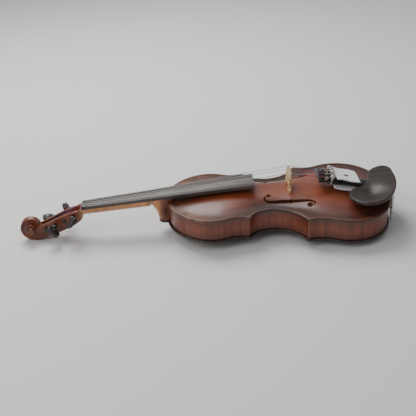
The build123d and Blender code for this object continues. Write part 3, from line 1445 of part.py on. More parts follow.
pieces = {
    "top_plate": top_plate.part,
    "back_plate": back_plate.part,
    **RIBS,
    "neck_block": neck_block.part,
    "end_block": end_block.part,
    "corner_blocks": corner_blocks.part,
    "linings": linings.part,
    "bass_bar": bass_bar.part,
    "sound_post": sound_post.part,
    "top_purfling": top_purfling.part,
    "back_purfling": BACK_PURFLING,
    "neck_and_scroll": neck_and_scroll.part,
    "fingerboard": fingerboard.part,
    "nut": nut.part,
    "bridge": bridge.part,
    "saddle": saddle.part,
    "end_button": end_button.part,
    "tailpiece": tailpiece.part,
    "tuner_pins": tuner_pins.part,
    "tail_gut": tail_gut_part,
    "chin_rest_plate": chin_rest_plate.part,
    "chin_rest_corks": chin_rest_corks.part,
    "clamp_upper_bracket": clamp_upper_bracket.part,
    "clamp_screws": clamp_screws.part,
    "clamp_lower_bracket": clamp_lower_bracket.part,
    "clamp_lower_cork": clamp_lower_cork.part,
    "clamp_barrel_bass": clamp_barrel(-1),
    "clamp_barrel_treble": clamp_barrel(1),
    "foam_wrap": foam_wrap.part,
}
for name in DIAMETER:
    pieces[f"string_{name}"] = STRING_PARTS[name]
    pieces[f"peg_{name}"] = peg(name)
    pieces[f"peg_winding_{name}"] = winding(name)
    pieces[f"tuner_lever_{name}"] = tuner_lever(name)
    pieces[f"tuner_screw_{name}"] = tuner_screw(name)
    pieces[f"tuner_knob_{name}"] = tuner_knob(name)

laid = {name: solid.moved(LAID_DOWN) for name, solid in pieces.items()}
boxes = [solid.bounding_box() for solid in laid.values()]
x_low, x_high = min(box.min.X for box in boxes), max(box.max.X for box in boxes)
y_low, y_high = min(box.min.Y for box in boxes), max(box.max.Y for box in boxes)
z_low = min(box.min.Z for box in boxes)
TO_ORIGIN = Location((-(x_low + x_high) / 2, -(y_low + y_high) / 2, -z_low))

print("tilt in degrees", round(REST_TILT, 5), "move", [round(v, 5) for v in TO_ORIGIN.position])
print("tail gut radii", [round(radius, 1) for radius in GUT_RADII])

os.makedirs("parts", exist_ok=True)
for name, solid in laid.items():
    placed = solid.moved(TO_ORIGIN)
    placed.label = name
    export_step(placed, f"parts/{name}.step")
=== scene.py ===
import json
import math

import bmesh
import bpy
from mathutils import Matrix, Vector


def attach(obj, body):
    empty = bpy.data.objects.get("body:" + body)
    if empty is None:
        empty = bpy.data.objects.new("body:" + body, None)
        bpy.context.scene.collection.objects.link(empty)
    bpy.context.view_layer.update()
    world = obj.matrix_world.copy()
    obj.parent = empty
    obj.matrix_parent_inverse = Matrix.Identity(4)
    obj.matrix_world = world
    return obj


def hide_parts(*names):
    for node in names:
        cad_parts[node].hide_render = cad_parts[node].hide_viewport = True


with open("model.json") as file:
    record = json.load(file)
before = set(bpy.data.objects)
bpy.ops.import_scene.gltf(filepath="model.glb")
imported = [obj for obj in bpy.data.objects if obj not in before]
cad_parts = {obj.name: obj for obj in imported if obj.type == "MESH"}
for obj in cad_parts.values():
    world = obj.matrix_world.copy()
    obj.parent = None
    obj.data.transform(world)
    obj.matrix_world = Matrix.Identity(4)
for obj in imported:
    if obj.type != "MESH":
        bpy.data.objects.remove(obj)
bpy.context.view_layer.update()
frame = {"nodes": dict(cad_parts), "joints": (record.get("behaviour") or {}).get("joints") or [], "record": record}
NODES = frame["nodes"]

# ---------------------------------------------------------------- the violin's own lines
# Its own lines are millimetres: x from the body's neck end to its tail, y to the treble side,
# z up from the back's edge.  The end button's mount gives where they lie in the frame.
BUTTON_PLACE = Vector((362.4, 0, 19.5))
WAIST_X = 163.0
BELLY_GLUE_Z = 35.0
BELLY_CHANNEL_Z = 38.4       # foot of the belly's arching
BELLY_CROWN_Z = 50.5
BACK_RIM_Z = 4.0             # upper side of the back's flat rim
BACK_CHANNEL_Z = 0.6
BACK_CROWN_Z = -11.0
RIB_MIDDLE_Z = 19.5
NUT_X = -129.0
TAILPIECE_X = 240.5
STRING_NAMES = "gdae"

button = next(m for m in frame["record"]["mounts"] if m["name"] == "end_button")
tilt = -math.asin(button["axis"][2])
turn_back = Matrix.Rotation(-tilt, 3, "Y")
origin_mm = Vector(button["pos_m"]) * 1000 - Matrix.Rotation(tilt, 3, "Y") @ BUTTON_PLACE


# ---------------------------------------------------------------- shader helpers
class Shader:
    """One material.  Each method adds a node and gives back its output."""

    def __init__(self, name, **surface):
        self.material = bpy.data.materials.new(name)
        self.material.use_nodes = True
        self.tree = self.material.node_tree
        self.surface = self.tree.nodes["Principled BSDF"]
        self.own = None
        self.set(**surface)

    def put(self, socket, value):
        if isinstance(value, bpy.types.NodeSocket):
            self.tree.links.new(value, socket)
        elif socket.type == "RGBA" and len(value) == 3:
            socket.default_value = (*value, 1)
        else:
            socket.default_value = value

    def set(self, **surface):
        """Sets the surface's inputs: base_color for "Base Color", and so on."""
        for name, value in surface.items():
            label = " ".join(w.upper() if w == "ior" else w.capitalize() for w in name.split("_"))
            self.put(self.surface.inputs[label], value)

    def node(self, kind, inputs=(), **settings):
        made = self.tree.nodes.new(kind)
        for name, value in settings.items():
            setattr(made, name, value)
        for name, value in dict(inputs).items():
            self.put(made.inputs[name], value)
        return made

    def lines(self):
        """Coordinates on the violin's own lines, in millimetres."""
        if self.own is None:
            where = self.node("ShaderNodeTexCoord").outputs["Object"]
            shift = -(turn_back @ origin_mm)
            self.own = self.node("ShaderNodeMapping", {
                "Vector": where, "Scale": (1000, 1000, 1000),
                "Rotation": (0, -tilt, 0), "Location": tuple(shift)}).outputs[0]
        return self.own

    def axis(self, name):
        split = self.node("ShaderNodeSeparateXYZ", {"Vector": self.lines()})
        return split.outputs[name]

    def scaled(self, sizes, turn=(0, 0, 0)):
        """The own lines divided by a length along each of them."""
        return self.node("ShaderNodeMapping", {
            "Vector": self.lines(), "Scale": tuple(1 / s for s in sizes),
            "Rotation": turn}).outputs[0]

    def noise(self, sizes, detail=3.0, roughness=0.5, distortion=0.0):
        """Noise whose grains are about that long along each line, in millimetres."""
        return self.node("ShaderNodeTexNoise", {
            "Vector": self.scaled(sizes), "Scale": 1.0, "Detail": detail,
            "Roughness": roughness, "Distortion": distortion}).outputs["Fac"]

    def ramp(self, value, *stops, kind="LINEAR"):
        """Colours or greys at places between 0 and 1."""
        made = self.node("ShaderNodeValToRGB", {"Fac": value})
        band = made.color_ramp
        band.interpolation = kind
        while len(band.elements) < len(stops):
            band.elements.new(0.5)
        for element, (at, colour) in zip(band.elements, stops):
            element.position = at
            grey = not hasattr(colour, "__len__")
            element.color = (colour, colour, colour, 1) if grey else (*colour, 1)
        return made.outputs["Color"]

    def math(self, operation, a, b=0.0, clamp=False):
        made = self.node("ShaderNodeMath", operation=operation, use_clamp=clamp)
        self.put(made.inputs[0], a)
        self.put(made.inputs[1], b)
        return made.outputs[0]

    def span(self, value, low, high, kind="SMOOTHSTEP"):
        """0 below low, 1 above high, and smooth between them."""
        return self.node("ShaderNodeMapRange", {
            "Value": value, "From Min": low, "From Max": high},
            interpolation_type=kind).outputs[0]

    def mix(self, share, a, b, blend="MIX"):
        made = self.node("ShaderNodeMix", data_type="RGBA", blend_type=blend)
        self.put(made.inputs[0], share)
        self.put(made.inputs[6], a)
        self.put(made.inputs[7], b)
        return made.outputs[2]

    def bump(self, height, distance, strength=1.0, under=None):
        """Relief of that depth in millimetres."""
        inputs = {"Height": height, "Distance": distance / 1000, "Strength": strength}
        if under is not None:
            inputs["Normal"] = under
        return self.node("ShaderNodeBump", inputs).outputs[0]

    def facing(self, axis):
        """How far the surface faces along an axis of the object, from -1 to 1."""
        split = self.node("ShaderNodeSeparateXYZ", {
            "Vector": self.node("ShaderNodeTexCoord").outputs["Normal"]})
        return split.outputs[axis]

    def edges(self, width):
        """1 on edges sharper than that width in millimetres, 0 on open surface."""
        soft = self.node("ShaderNodeBevel", {"Radius": width / 1000}, samples=6).outputs[0]
        hard = self.node("ShaderNodeNewGeometry").outputs["Normal"]
        same = self.node("ShaderNodeVectorMath", operation="DOT_PRODUCT")
        self.put(same.inputs[0], soft)
        self.put(same.inputs[1], hard)
        return self.span(same.outputs["Value"], 0.985, 0.9, kind="LINEAR")


# ---------------------------------------------------------------- wood
SPRUCE = (0.56, 0.36, 0.17)
MAPLE = (0.60, 0.40, 0.21)
DARK_VARNISH = (0.016, 0.007, 0.005)
BROWN_VARNISH = (0.085, 0.020, 0.010)
RED_VARNISH = (0.180, 0.036, 0.013)
GOLD_VARNISH = (0.255, 0.056, 0.018)
WORN_VARNISH = (0.30, 0.10, 0.038)
RIM_VARNISH = (0.045, 0.013, 0.008)
CHANNEL_VARNISH = (0.110, 0.026, 0.012)
RIB_FLANK_VARNISH = (0.140, 0.030, 0.012)
HEAD_VARNISH = (0.21, 0.048, 0.018)
OILED_MAPLE = (0.47, 0.20, 0.075)
WAIST_SHADE_LENGTH = 34.0    # how far the dark shade at the waist reaches along the belly
HAND_X = 34.0                # middle of the patch that the hand wears at the upper bout
HAND_REACH = 30.0


def wear(shader, colour, amount=0.6, width=0.7):
    """Varnish rubbed thin along the edges, in patches."""
    patches = shader.span(shader.noise((26, 26, 26), detail=4), 0.42, 0.62)
    share = shader.math("MULTIPLY", shader.edges(width), shader.math("MULTIPLY", patches, amount))
    return shader.mix(share, colour, WORN_VARNISH)


def antique(shader, colour):
    """Dark smudges, fine dents filled with polish, and a slow change of tone."""
    tone = shader.ramp(shader.noise((120, 70, 60), detail=2), (0.3, 0.72), (0.7, 1.12))
    colour = shader.mix(1.0, colour, tone, "MULTIPLY")
    smudge = shader.span(shader.noise((34, 15, 20), detail=5, roughness=0.6), 0.58, 0.74)
    colour = shader.mix(shader.math("MULTIPLY", smudge, 0.55), colour, BROWN_VARNISH)
    dents = shader.span(shader.noise((2.6, 1.6, 2.6), detail=2), 0.69, 0.76)
    return shader.mix(shader.math("MULTIPLY", dents, 0.5), colour, DARK_VARNISH)


def varnish_finish(shader, base, grain):
    """Satin varnish over grain that still shows through it."""
    rub = shader.noise((40, 22, 22), detail=4)
    shader.set(base_color=base, roughness=shader.ramp(rub, (0.25, 0.30), (0.75, 0.46)),
               specular_ior_level=0.5, coat_weight=0.22, coat_roughness=0.16)
    ripple = shader.bump(shader.noise((9, 9, 9), detail=3), 0.05)
    shader.set(normal=shader.bump(grain, 0.035, under=ripple))


def spruce_grain(shader):
    """Straight annual rings, with broad bands of tone along them."""
    fine = shader.noise((420, 1.15, 60), detail=2, distortion=0.15)
    wide = shader.noise((300, 7.5, 60), detail=2)
    lines = shader.ramp(fine, (0.38, 0.66), (0.50, 1.0), (0.62, 0.86))
    bands = shader.ramp(wide, (0.30, 0.80), (0.70, 1.10))
    return fine, shader.mix(1.0, lines, bands, "MULTIPLY")


def flame(shader, sizes, turn=(0, 0, 0), depth=0.42):
    """The cross bands of figured maple, with its short dark pores."""
    bands = shader.node("ShaderNodeTexNoise", {
        "Vector": shader.scaled(sizes, turn), "Scale": 1.0, "Detail": 2.0,
        "Distortion": 0.35}).outputs["Fac"]
    pores = shader.noise((7, 0.6, 0.6), detail=2)
    light = shader.ramp(bands, (0.32, 1.0 - depth), (0.5, 0.95), (0.68, 1.0 + depth * 0.7))
    flecks = shader.ramp(pores, (0.32, 0.78), (0.44, 1.0))
    return bands, shader.mix(1.0, light, flecks, "MULTIPLY")


def belly_varnish():
    """Shaded varnish on the outside, dark at the waist and the rim, and bare wood inside."""
    shader = Shader("belly_varnish")
    x, y, z = (shader.axis(name) for name in "XYZ")
    rise = shader.span(z, BELLY_CHANNEL_Z - 0.5, BELLY_CROWN_Z, kind="LINEAR")
    burst = shader.ramp(rise, (0.0, RIM_VARNISH), (0.10, CHANNEL_VARNISH),
                        (0.42, RED_VARNISH), (0.85, GOLD_VARNISH), kind="EASE")
    from_waist = shader.math("DIVIDE", shader.math("SUBTRACT", x, WAIST_X), WAIST_SHADE_LENGTH)
    near_waist = shader.math("EXPONENT", shader.math("MULTIPLY", from_waist,
                             shader.math("MULTIPLY", from_waist, -1.0)))
    flank = shader.span(shader.math("ABSOLUTE", y), 24.0, 50.0)
    shade = shader.math("MULTIPLY", shader.math("MULTIPLY", near_waist, flank), 0.86)
    colour = shader.mix(shade, burst, DARK_VARNISH)
    # the hand's patch of thinner varnish at the upper bout's edge
    from_bout = shader.math("SUBTRACT", x, HAND_X)
    hand = shader.math("EXPONENT", shader.math("DIVIDE", shader.math("MULTIPLY", from_bout,
                       shader.math("MULTIPLY", from_bout, -1.0)), HAND_REACH**2))
    edge = shader.span(rise, 0.24, 0.0)
    patchy = shader.span(shader.noise((18, 12, 12), detail=4), 0.40, 0.60)
    thin = shader.math("MULTIPLY", shader.math("MULTIPLY", hand, edge), patchy)
    colour = shader.mix(shader.math("MULTIPLY", thin, 0.7), colour, WORN_VARNISH)
    rings, grain = spruce_grain(shader)
    colour = shader.mix(0.75, colour, grain, "MULTIPLY")
    colour = wear(shader, antique(shader, colour))
    inside = shader.math("MULTIPLY", shader.span(shader.facing("Z"), -0.2, -0.5),
                         shader.span(z, BELLY_GLUE_Z + 0.5, BELLY_GLUE_Z + 0.9))
    bare = shader.mix(1.0, SPRUCE, grain, "MULTIPLY")
    varnish_finish(shader, shader.mix(inside, colour, bare), rings)
    return shader.material


def back_varnish(name, ribs=False):
    """Maple under the same varnish, on the back or on the ribs."""
    shader = Shader(name)
    y, z = shader.axis("Y"), shader.axis("Z")
    if ribs:
        bands, figure = flame(shader, (4.5, 4.5, 90))
        from_edge = shader.math("ABSOLUTE", shader.math("SUBTRACT", z, RIB_MIDDLE_Z))
        colour = shader.ramp(shader.span(from_edge, 0.0, 16.0, kind="LINEAR"),
                             (0.0, RED_VARNISH), (0.5, RIB_FLANK_VARNISH), (1.0, BROWN_VARNISH))
    else:
        bands, figure = flame(shader, (6.0, 70, 30), turn=(0, 0, 0.18))
        rise = shader.span(z, BACK_CHANNEL_Z, BACK_CROWN_Z, kind="LINEAR")
        burst = shader.ramp(rise, (0.0, DARK_VARNISH), (0.16, BROWN_VARNISH),
                            (0.5, RED_VARNISH), (0.9, GOLD_VARNISH), kind="EASE")
        joint = shader.span(shader.math("ABSOLUTE", y), 0.5, 0.15)
        inside = shader.math("MULTIPLY", shader.span(shader.facing("Z"), 0.2, 0.5),
                             shader.span(z, BACK_RIM_Z - 0.8, BACK_RIM_Z - 1.2))
        colour = shader.mix(shader.math("MULTIPLY", joint, 0.5), burst, DARK_VARNISH)
        colour = shader.mix(inside, colour, MAPLE)
    colour = shader.mix(0.85, colour, figure, "MULTIPLY")
    varnish_finish(shader, wear(shader, antique(shader, colour)), bands)
    return shader.material


def neck_wood():
    """Oiled maple where the hand slides, and varnish on the head and the heel."""
    shader = Shader("neck_wood")
    x = shader.axis("X")
    bands, figure = flame(shader, (7.0, 40, 40))
    oiled = shader.mix(0.8, OILED_MAPLE, figure, "MULTIPLY")
    dark = shader.ramp(shader.noise((30, 18, 18), detail=3),
                       (0.3, BROWN_VARNISH), (0.7, HEAD_VARNISH))
    varnished = shader.mix(0.6, dark, figure, "MULTIPLY")
    head = shader.span(x, NUT_X - 2.0, NUT_X - 14.0)
    heel = shader.span(x, -16.0, -4.0)
    colour = shader.mix(shader.math("MAXIMUM", head, heel), oiled, varnished)
    rubbed = shader.span(shader.edges(1.2), 0.3, 1.0)
    colour = shader.mix(shader.math("MULTIPLY", rubbed, 0.35), colour, WORN_VARNISH)
    varnish_finish(shader, colour, bands)
    shader.set(coat_weight=0.12)
    return shader.material


def bare_wood():
    shader = Shader("bare_spruce", roughness=0.72)
    rings, grain = spruce_grain(shader)
    shader.set(base_color=shader.mix(1.0, SPRUCE, grain, "MULTIPLY"),
               normal=shader.bump(rings, 0.06))
    return shader.material


def bridge_maple():
    """Quartered maple with its short flecks, darker along its edges."""
    shader = Shader("bridge_maple", roughness=0.48, specular_ior_level=0.35)
    flecks = shader.noise((0.5, 3.4, 0.9), detail=3)
    tone = shader.noise((10, 22, 5), detail=2)
    colour = shader.ramp(tone, (0.3, (0.52, 0.31, 0.14)), (0.7, (0.66, 0.43, 0.22)))
    dark = shader.ramp(flecks, (0.30, 0.55), (0.42, 1.0))
    colour = shader.mix(0.8, colour, dark, "MULTIPLY")
    handled = shader.math("MULTIPLY", shader.edges(0.5), 0.35)
    shader.set(base_color=shader.mix(handled, colour, (0.22, 0.10, 0.04)),
               normal=shader.bump(flecks, 0.03))
    return shader.material


def ebony(name, base, dust, roughness):
    """Black wood with fine pores along the grain, and dust that dulls it in streaks."""
    shader = Shader(name, specular_ior_level=0.45)
    pores = shader.noise((9, 0.45, 0.45), detail=2)
    streaks = shader.noise((150, 4.5, 12), detail=3)
    share = shader.span(streaks, 0.40, 0.70)
    colour = shader.mix(shader.math("MULTIPLY", share, 0.8), base, dust)
    colour = shader.mix(0.6, colour, shader.ramp(pores, (0.34, 0.45), (0.46, 1.0)), "MULTIPLY")
    rough = shader.ramp(shader.noise((30, 18, 18), detail=3),
                        (0.3, roughness - 0.07), (0.7, roughness + 0.09))
    polished = shader.math("MULTIPLY", shader.edges(0.8), 0.35)
    shader.set(base_color=shader.mix(polished, colour, dust), roughness=rough,
               normal=shader.bump(pores, 0.03))
    return shader.material


def fingerboard_ebony():
    """Dull dark board whose grey-brown is partly dust streaks and partly a painted sky reflection, a little
    glossier where fingers rub it.
    """
    shader = Shader("fingerboard", specular_ior_level=0.5)
    x, y = shader.axis("X"), shader.axis("Y")
    pores = shader.noise((9, 0.45, 0.45), detail=2)
    streaks = shader.noise((180, 3.2, 20), detail=3)
    # the lighter grey-brown stops are partly dust along the grain and partly a painted reflection of the sky
    colour = shader.ramp(streaks, (0.32, (0.034, 0.025, 0.021)), (0.55, (0.060, 0.045, 0.037)),
                         (0.72, (0.098, 0.073, 0.059)))
    colour = shader.mix(0.6, colour, shader.ramp(pores, (0.34, 0.5), (0.46, 1.0)), "MULTIPLY")
    played = shader.math("MULTIPLY", shader.span(x, 30.0, -60.0),
                         shader.span(shader.math("ABSOLUTE", y), 12.0, 6.0))
    rough = shader.ramp(shader.noise((45, 12, 20), detail=3), (0.3, 0.36), (0.7, 0.50))
    rough = shader.math("SUBTRACT", rough, shader.math("MULTIPLY", played, 0.08))
    shader.set(base_color=colour, roughness=rough, normal=shader.bump(pores, 0.03))
    return shader.material


# ---------------------------------------------------------------- purfling, drawn across its width
def purfling_strips():
    """Black, white and black strips, by the distance across the inlay."""
    shader = Shader("purfling", roughness=0.42, specular_ior_level=0.4, coat_weight=0.2)
    across = shader.node("ShaderNodeAttribute", attribute_name="across").outputs["Fac"]
    strips = shader.ramp(across, (0.0, (0.012, 0.008, 0.006)), (0.30, (0.30, 0.16, 0.07)),
                         (0.70, (0.012, 0.008, 0.006)), kind="CONSTANT")
    grime = shader.ramp(shader.noise((14, 14, 14), detail=3), (0.35, 0.55), (0.65, 1.0))
    shader.set(base_color=shader.mix(1.0, strips, grime, "MULTIPLY"))
    return shader.material


PURFLING_WIDTH = 0.0013      # metres, as in the frame
CUT_ENDS_WITHIN = 0.025      # of the centre line, where the heel and the saddle cut the strip


def inlay(node_name, material):
    """The purfling's own mesh, told for every vertex which of its two walls it is on."""
    source = NODES[node_name]
    mesh = source.data.copy()
    cut = bmesh.new()
    cut.from_mesh(mesh)
    bmesh.ops.remove_doubles(cut, verts=cut.verts, dist=1e-6)
    cut.verts.ensure_lookup_table()
    groups = []
    left = {f for f in cut.faces if abs(f.normal.z) < 0.5
            and not (abs(f.normal.y) > 0.999 and abs(f.calc_center_median().y) < CUT_ENDS_WITHIN)}
    while left:
        group, front = set(), [left.pop()]
        while front:
            face = front.pop()
            group.add(face)
            for edge in face.edges:
                for other in edge.link_faces:
                    if other in left:
                        left.discard(other)
                        front.append(other)
        groups.append({v.index for f in group for v in f.verts})
    widths = [max(abs(cut.verts[i].co.y) for i in group) for group in groups]
    outer = set().union(*(group for group, width in zip(groups, widths)
                          if width > max(widths) - PURFLING_WIDTH / 2))
    across = cut.verts.layers.float.new("across")
    for vertex in cut.verts:
        vertex[across] = 1.0 if vertex.index in outer else 0.0
    cut.to_mesh(mesh)
    cut.free()
    piece = bpy.data.objects.new(node_name + "_strips", mesh)
    bpy.context.scene.collection.objects.link(piece)
    mesh.materials.clear()
    mesh.materials.append(material)
    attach(piece, "root")
    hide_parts(node_name)


# ---------------------------------------------------------------- metal, string, cork, foam
SILK = {"g": (0.30, 0.012, 0.030), "d": (0.42, 0.030, 0.085),
        "a": (0.05, 0.09, 0.30), "e": (0.010, 0.30, 0.33)}
# the windings' greys are set darker than bare metal: partly their own dull metal, partly painted shade laid over
# it
STEEL_AND_PAINTED_SHADE = {"g": (0.34, 0.32, 0.30), "d": (0.36, 0.34, 0.32), "a": (0.40, 0.39, 0.38),
         "e": (0.50, 0.48, 0.45)}
SILK_AT_TAIL = 38.0          # length of the silk in front of the fine tuner
SILK_END_X = TAILPIECE_X + 12


def string_material(name):
    """Metal winding, with coloured silk at both ends."""
    shader = Shader(f"string_{name}")
    x = shader.axis("X")
    tail = shader.span(x, SILK_END_X - SILK_AT_TAIL, SILK_END_X - SILK_AT_TAIL + 0.5)
    head = shader.span(x, NUT_X - 7.0, NUT_X - 7.5)
    silk = shader.math("MAXIMUM", tail, head)
    turns = shader.node("ShaderNodeTexWave", {
        "Vector": shader.scaled((0.7, 1e6, 1e6)), "Scale": 1.0}, bands_direction="X",
        wave_profile="SIN").outputs["Fac"]
    thread = shader.ramp(turns, (0.2, 0.7), (0.8, 1.15))
    cloth = shader.mix(1.0, SILK[name], thread, "MULTIPLY")
    shader.set(base_color=shader.mix(silk, STEEL_AND_PAINTED_SHADE[name], cloth),
               metallic=shader.math("SUBTRACT", 1.0, silk),
               roughness=shader.math("ADD", shader.math("MULTIPLY", silk, 0.35), 0.32),
               normal=shader.bump(turns, 0.05))
    return shader.material


def silk_material(name):
    """The silk-wrapped end of a string, wound on its peg."""
    shader = Shader(f"silk_{name}", roughness=0.62, sheen_weight=0.3)
    twist = shader.noise((0.4, 0.4, 0.4), detail=2)
    shader.set(base_color=shader.mix(1.0, SILK[name], shader.ramp(twist, (0.3, 0.7), (0.7, 1.15)),
                                     "MULTIPLY"), normal=shader.bump(twist, 0.05))
    return shader.material


def nickel():
    """Plated metal with finger marks and fine wiping scratches."""
    shader = Shader("nickel", metallic=1.0)
    marks = shader.noise((5, 5, 5), detail=4)
    scratches = shader.noise((14, 0.3, 0.3), detail=2)
    colour = shader.ramp(marks, (0.3, (0.56, 0.53, 0.48)), (0.6, (0.70, 0.68, 0.63)))
    shader.set(base_color=colour, roughness=shader.ramp(marks, (0.3, 0.32), (0.7, 0.16)),
               normal=shader.bump(scratches, 0.008))
    return shader.material


def gut():
    """Black synthetic cord."""
    shader = Shader("tail_gut", roughness=0.38)
    twist = shader.noise((1.2, 0.5, 0.5), detail=1)
    shader.set(base_color=shader.ramp(twist, (0.3, (0.012, 0.012, 0.013)),
                                      (0.7, (0.030, 0.029, 0.029))),
               normal=shader.bump(twist, 0.05))
    return shader.material


def cork():
    """Pressed grains, some of them dark."""
    shader = Shader("cork", roughness=0.85)
    grains = shader.node("ShaderNodeTexVoronoi", {
        "Vector": shader.scaled((1.0, 1.0, 1.0)), "Scale": 1.0})
    grey = shader.node("ShaderNodeSeparateColor", {"Color": grains.outputs["Color"]}).outputs[0]
    shader.set(base_color=shader.ramp(grey, (0.0, (0.16, 0.075, 0.030)), (0.25, (0.42, 0.24, 0.11)),
                                      (1.0, (0.55, 0.35, 0.18))),
               normal=shader.bump(grains.outputs["Distance"], 0.12))
    return shader.material


def foam():
    """Closed-cell packing foam: fine bubbles, a faint skin gloss and a few soft creases, with painted shade
    darkening the creases.
    """
    shader = Shader("foam", specular_ior_level=0.25, subsurface_weight=0.12,
                    subsurface_radius=(0.004, 0.004, 0.004), subsurface_scale=1.0)
    cells = shader.node("ShaderNodeTexVoronoi", {
        "Vector": shader.scaled((0.9, 0.9, 0.9)), "Scale": 1.0}).outputs["Distance"]
    creases_and_painted_shade = shader.noise((14, 5, 9), detail=4)
    # the grey darkens where the creases lie: painted shade in the creases, while the same noise also gives their
    # real relief
    colour = shader.ramp(creases_and_painted_shade, (0.25, (0.60, 0.585, 0.57)), (0.6, (0.80, 0.795, 0.785)))
    relief = shader.bump(creases_and_painted_shade, 0.5)
    shader.set(base_color=colour, roughness=shader.ramp(creases_and_painted_shade, (0.3, 0.62), (0.7, 0.46)),
               normal=shader.bump(cells, 0.10, under=relief))
    return shader.material


# ---------------------------------------------------------------- every CAD node's material
EBONY_FITTINGS = ebony("ebony_fittings", (0.014, 0.011, 0.010), (0.040, 0.031, 0.027), 0.30)
REST_EBONY = ebony("chin_rest", (0.020, 0.013, 0.010), (0.055, 0.036, 0.028), 0.36)
NICKEL, CORK, GUT, BARE = nickel(), cork(), gut(), bare_wood()
RIB_VARNISH = back_varnish("rib_varnish", ribs=True)
FINISHES = {
    "top_plate": belly_varnish(),
    "back_plate": back_varnish("back_varnish"),
    "neck_and_scroll": neck_wood(),
    "fingerboard": fingerboard_ebony(),
    "bridge": bridge_maple(),
    "tail_gut": GUT,
    "chin_rest_plate": REST_EBONY,
}
for name in STRING_NAMES:
    FINISHES[f"string_{name}"] = string_material(name)
    FINISHES[f"peg_winding_{name}"] = silk_material(name)


def finish_for(name):
    if name in FINISHES:
        return FINISHES[name]
    if "_rib_" in name:
        return RIB_VARNISH
    if "cork" in name:
        return CORK
    if name.startswith(("tuner", "clamp")):
        return NICKEL
    if name in ("neck_block", "end_block", "corner_blocks", "linings", "bass_bar", "sound_post"):
        return BARE
    return EBONY_FITTINGS


for name, node in NODES.items():
    node.data.materials.clear()
    node.data.materials.append(finish_for(name))

PURFLING = purfling_strips()
inlay("top_purfling", PURFLING)
inlay("back_purfling", PURFLING)

# ---------------------------------------------------------------- the foam wrap, a folded sheet
FOAM_THICKNESS = 0.0022
FOAM_HOLE_RADIUS = 0.0045
FOAM_HOLE_Y = -0.002
FOAM_STEP = 0.001            # side of the sheet's faces
FOAM_CURL = 0.0016           # lift of the upper flap's open edge
FOAM_CURL_WIDTH = 0.012
FOAM_SAG = 0.0008            # wave of the lower flap's open edge
FOAM_SAG_WIDTH = 0.015

tuner_slide = next(j for j in frame["joints"] if j["name"] == "tuner_travel_g")
tail_up = -Vector(tuner_slide["axis"]).normalized()
tail_along = Vector((tail_up.z, 0, -tail_up.x))


def extent(name, direction):
    """How far a CAD node reaches along a direction, from and to."""
    reach = [vertex.co.dot(direction) for vertex in NODES[name].data.vertices]
    return min(reach), max(reach)


def foam_sheet():
    """A flat sheet bent over itself, with a hole punched in its upper flap.

    u runs from the upper flap's open edge, over the fold and back, and v along the tailpiece.
    """
    along_0, along_1 = extent("foam_wrap", tail_along)
    up_0, up_1 = extent("foam_wrap", tail_up)
    y_open, y_fold = extent("foam_wrap", Vector((0, 1, 0)))
    length = along_1 - along_0
    radius = (up_1 - up_0 - FOAM_THICKNESS) / 2
    turn_y = y_fold - (up_1 - up_0) / 2
    flap = turn_y - y_open
    width = 2 * flap + math.pi * radius
    centre_up = (up_0 + up_1) / 2

    def folded(u, v):
        """Where a point of the flat sheet lies, with a slight ripple."""
        lift = 0.0005 * math.sin(v * 190 + u * 60) + 0.0004 * math.sin(u * 140 - v * 75 + 1.3)
        if u < flap:
            curl = FOAM_CURL * max(1 - u / FOAM_CURL_WIDTH, 0) ** 2 * (0.4 + v / length)
            y, up, out = y_open + u, centre_up + radius, (0, 1)
            lift += curl
        elif u > width - flap:
            left = width - u
            sag = FOAM_SAG * max(1 - left / FOAM_SAG_WIDTH, 0) ** 2
            y, up, out = y_open + left, centre_up - radius, (0, -1)
            lift = 0.4 * lift + sag * math.sin(v * 120)
        else:
            angle = (u - flap) / radius
            out = (math.sin(angle), math.cos(angle))
            y, up = turn_y + radius * out[0], centre_up + radius * out[1]
        y, up = y + out[0] * lift, up + out[1] * lift
        return tail_along * (along_0 + v) + tail_up * up + Vector((0, y, 0))

    hole_u, hole_v = FOAM_HOLE_Y - y_open, length / 2
    rows, columns = round(width / FOAM_STEP), round(length / FOAM_STEP)
    sheet = bmesh.new()
    grid = [[sheet.verts.new((width * i / rows, length * j / columns, 0))
             for j in range(columns + 1)] for i in range(rows + 1)]
    for i in range(rows):
        for j in range(columns):
            sheet.faces.new((grid[i][j], grid[i + 1][j], grid[i + 1][j + 1], grid[i][j + 1]))
    hole = Vector((hole_u, hole_v, 0))
    punched = [f for f in sheet.faces
               if (f.calc_center_median() - hole).length < FOAM_HOLE_RADIUS]
    bmesh.ops.delete(sheet, geom=punched, context="FACES")
    for vertex in sheet.verts:
        away = vertex.co - hole
        if vertex.is_boundary and away.length < FOAM_HOLE_RADIUS + 2 * FOAM_STEP:
            vertex.co = hole + away.normalized() * FOAM_HOLE_RADIUS
    for vertex in sheet.verts:
        vertex.co = folded(vertex.co.x, vertex.co.y)
    mesh = bpy.data.meshes.new("foam_sheet")
    sheet.to_mesh(mesh)
    sheet.free()
    mesh.shade_smooth()
    mesh.materials.append(foam())
    piece = bpy.data.objects.new("foam_sheet", mesh)
    bpy.context.scene.collection.objects.link(piece)
    thick = piece.modifiers.new("thickness", "SOLIDIFY")
    thick.thickness = FOAM_THICKNESS
    thick.offset = 0
    soft = piece.modifiers.new("soft edges", "BEVEL")
    soft.width = 0.0004
    soft.segments = 2
    soft.limit_method = "ANGLE"
    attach(piece, "root")
    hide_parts("foam_wrap")


foam_sheet()

# ---------------------------------------------------------------- camera, floor, light
CAMERA_AZIMUTH = -1.0
CAMERA_ELEVATION = 28.0
CAMERA_ROLL = -3.7
CAMERA_DISTANCE = 1.30
CAMERA_LENS = 70.0
SENSOR = 36.0
AIM = Vector((0, -0.004, 0.035))
FLOOR_HALF = 6.0
FLOOR_DROP = 0.0002          # keeps the floor's face clear of the back's lowest point
SKY_COLOUR = (0.80, 0.82, 0.85, 1)
SKY_STRENGTH = 0.45


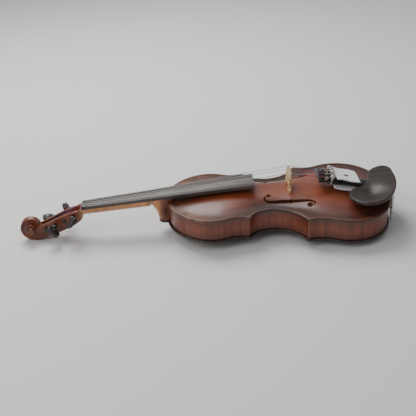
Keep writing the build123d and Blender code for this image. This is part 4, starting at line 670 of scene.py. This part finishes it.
def around(azimuth, elevation):
    """Direction from the object to a place round it: azimuth 0 is in front, on -Y."""
    a, e = math.radians(azimuth), math.radians(elevation)
    return Vector((math.sin(a) * math.cos(e), -math.cos(a) * math.cos(e), math.sin(e)))


def camera():
    back = around(CAMERA_AZIMUTH, CAMERA_ELEVATION)
    data = bpy.data.cameras.new("camera")
    data.lens, data.sensor_width = CAMERA_LENS, SENSOR
    data.clip_start, data.clip_end = 0.05, 50
    made = bpy.data.objects.new("camera", data)
    made.location = AIM + back * CAMERA_DISTANCE
    made.rotation_mode = "QUATERNION"
    level = (-back).to_track_quat("-Z", "Y")
    made.rotation_quaternion = level @ Matrix.Rotation(
        math.radians(CAMERA_ROLL), 3, "Z").to_quaternion()
    bpy.context.scene.collection.objects.link(made)
    bpy.context.scene.camera = made


def floor():
    """A pale floor that can be seen through from below, so that the back shows there."""
    shader = Shader("floor", base_color=(0.74, 0.73, 0.71), roughness=0.75,
                    specular_ior_level=0.2)
    clear = shader.node("ShaderNodeBsdfTransparent").outputs[0]
    below = shader.node("ShaderNodeNewGeometry").outputs["Backfacing"]
    either = shader.node("ShaderNodeMixShader", {"Fac": below})
    shader.put(either.inputs[1], shader.surface.outputs[0])
    shader.put(either.inputs[2], clear)
    output = shader.tree.nodes["Material Output"]
    shader.put(output.inputs["Surface"], either.outputs[0])
    mesh = bpy.data.meshes.new("floor")
    corners = [(-1, -1), (1, -1), (1, 1), (-1, 1)]
    mesh.from_pydata([(FLOOR_HALF * i, FLOOR_HALF * j, 0) for i, j in corners],
                     [], [(0, 1, 2, 3)])
    mesh.materials.append(shader.material)
    made = bpy.data.objects.new("floor", mesh)
    made.location.z = -FLOOR_DROP
    bpy.context.scene.collection.objects.link(made)


def softbox(name, azimuth, elevation, distance, size, power):
    """A square light that looks at the violin."""
    data = bpy.data.lights.new(name, "AREA")
    data.shape, data.size, data.energy = "SQUARE", size, power
    made = bpy.data.objects.new(name, data)
    back = around(azimuth, elevation)
    made.location = AIM + back * distance
    made.rotation_mode = "QUATERNION"
    made.rotation_quaternion = (-back).to_track_quat("-Z", "Y")
    bpy.context.scene.collection.objects.link(made)


def sky():
    world = bpy.data.worlds.new("sky")
    world.use_nodes = True
    background = world.node_tree.nodes["Background"]
    background.inputs["Color"].default_value = SKY_COLOUR
    background.inputs["Strength"].default_value = SKY_STRENGTH
    bpy.context.scene.world = world


camera()
floor()
softbox("key", azimuth=205, elevation=55, distance=1.6, size=1.0, power=26)
softbox("fill", azimuth=-55, elevation=38, distance=1.8, size=1.3, power=12)
sky()
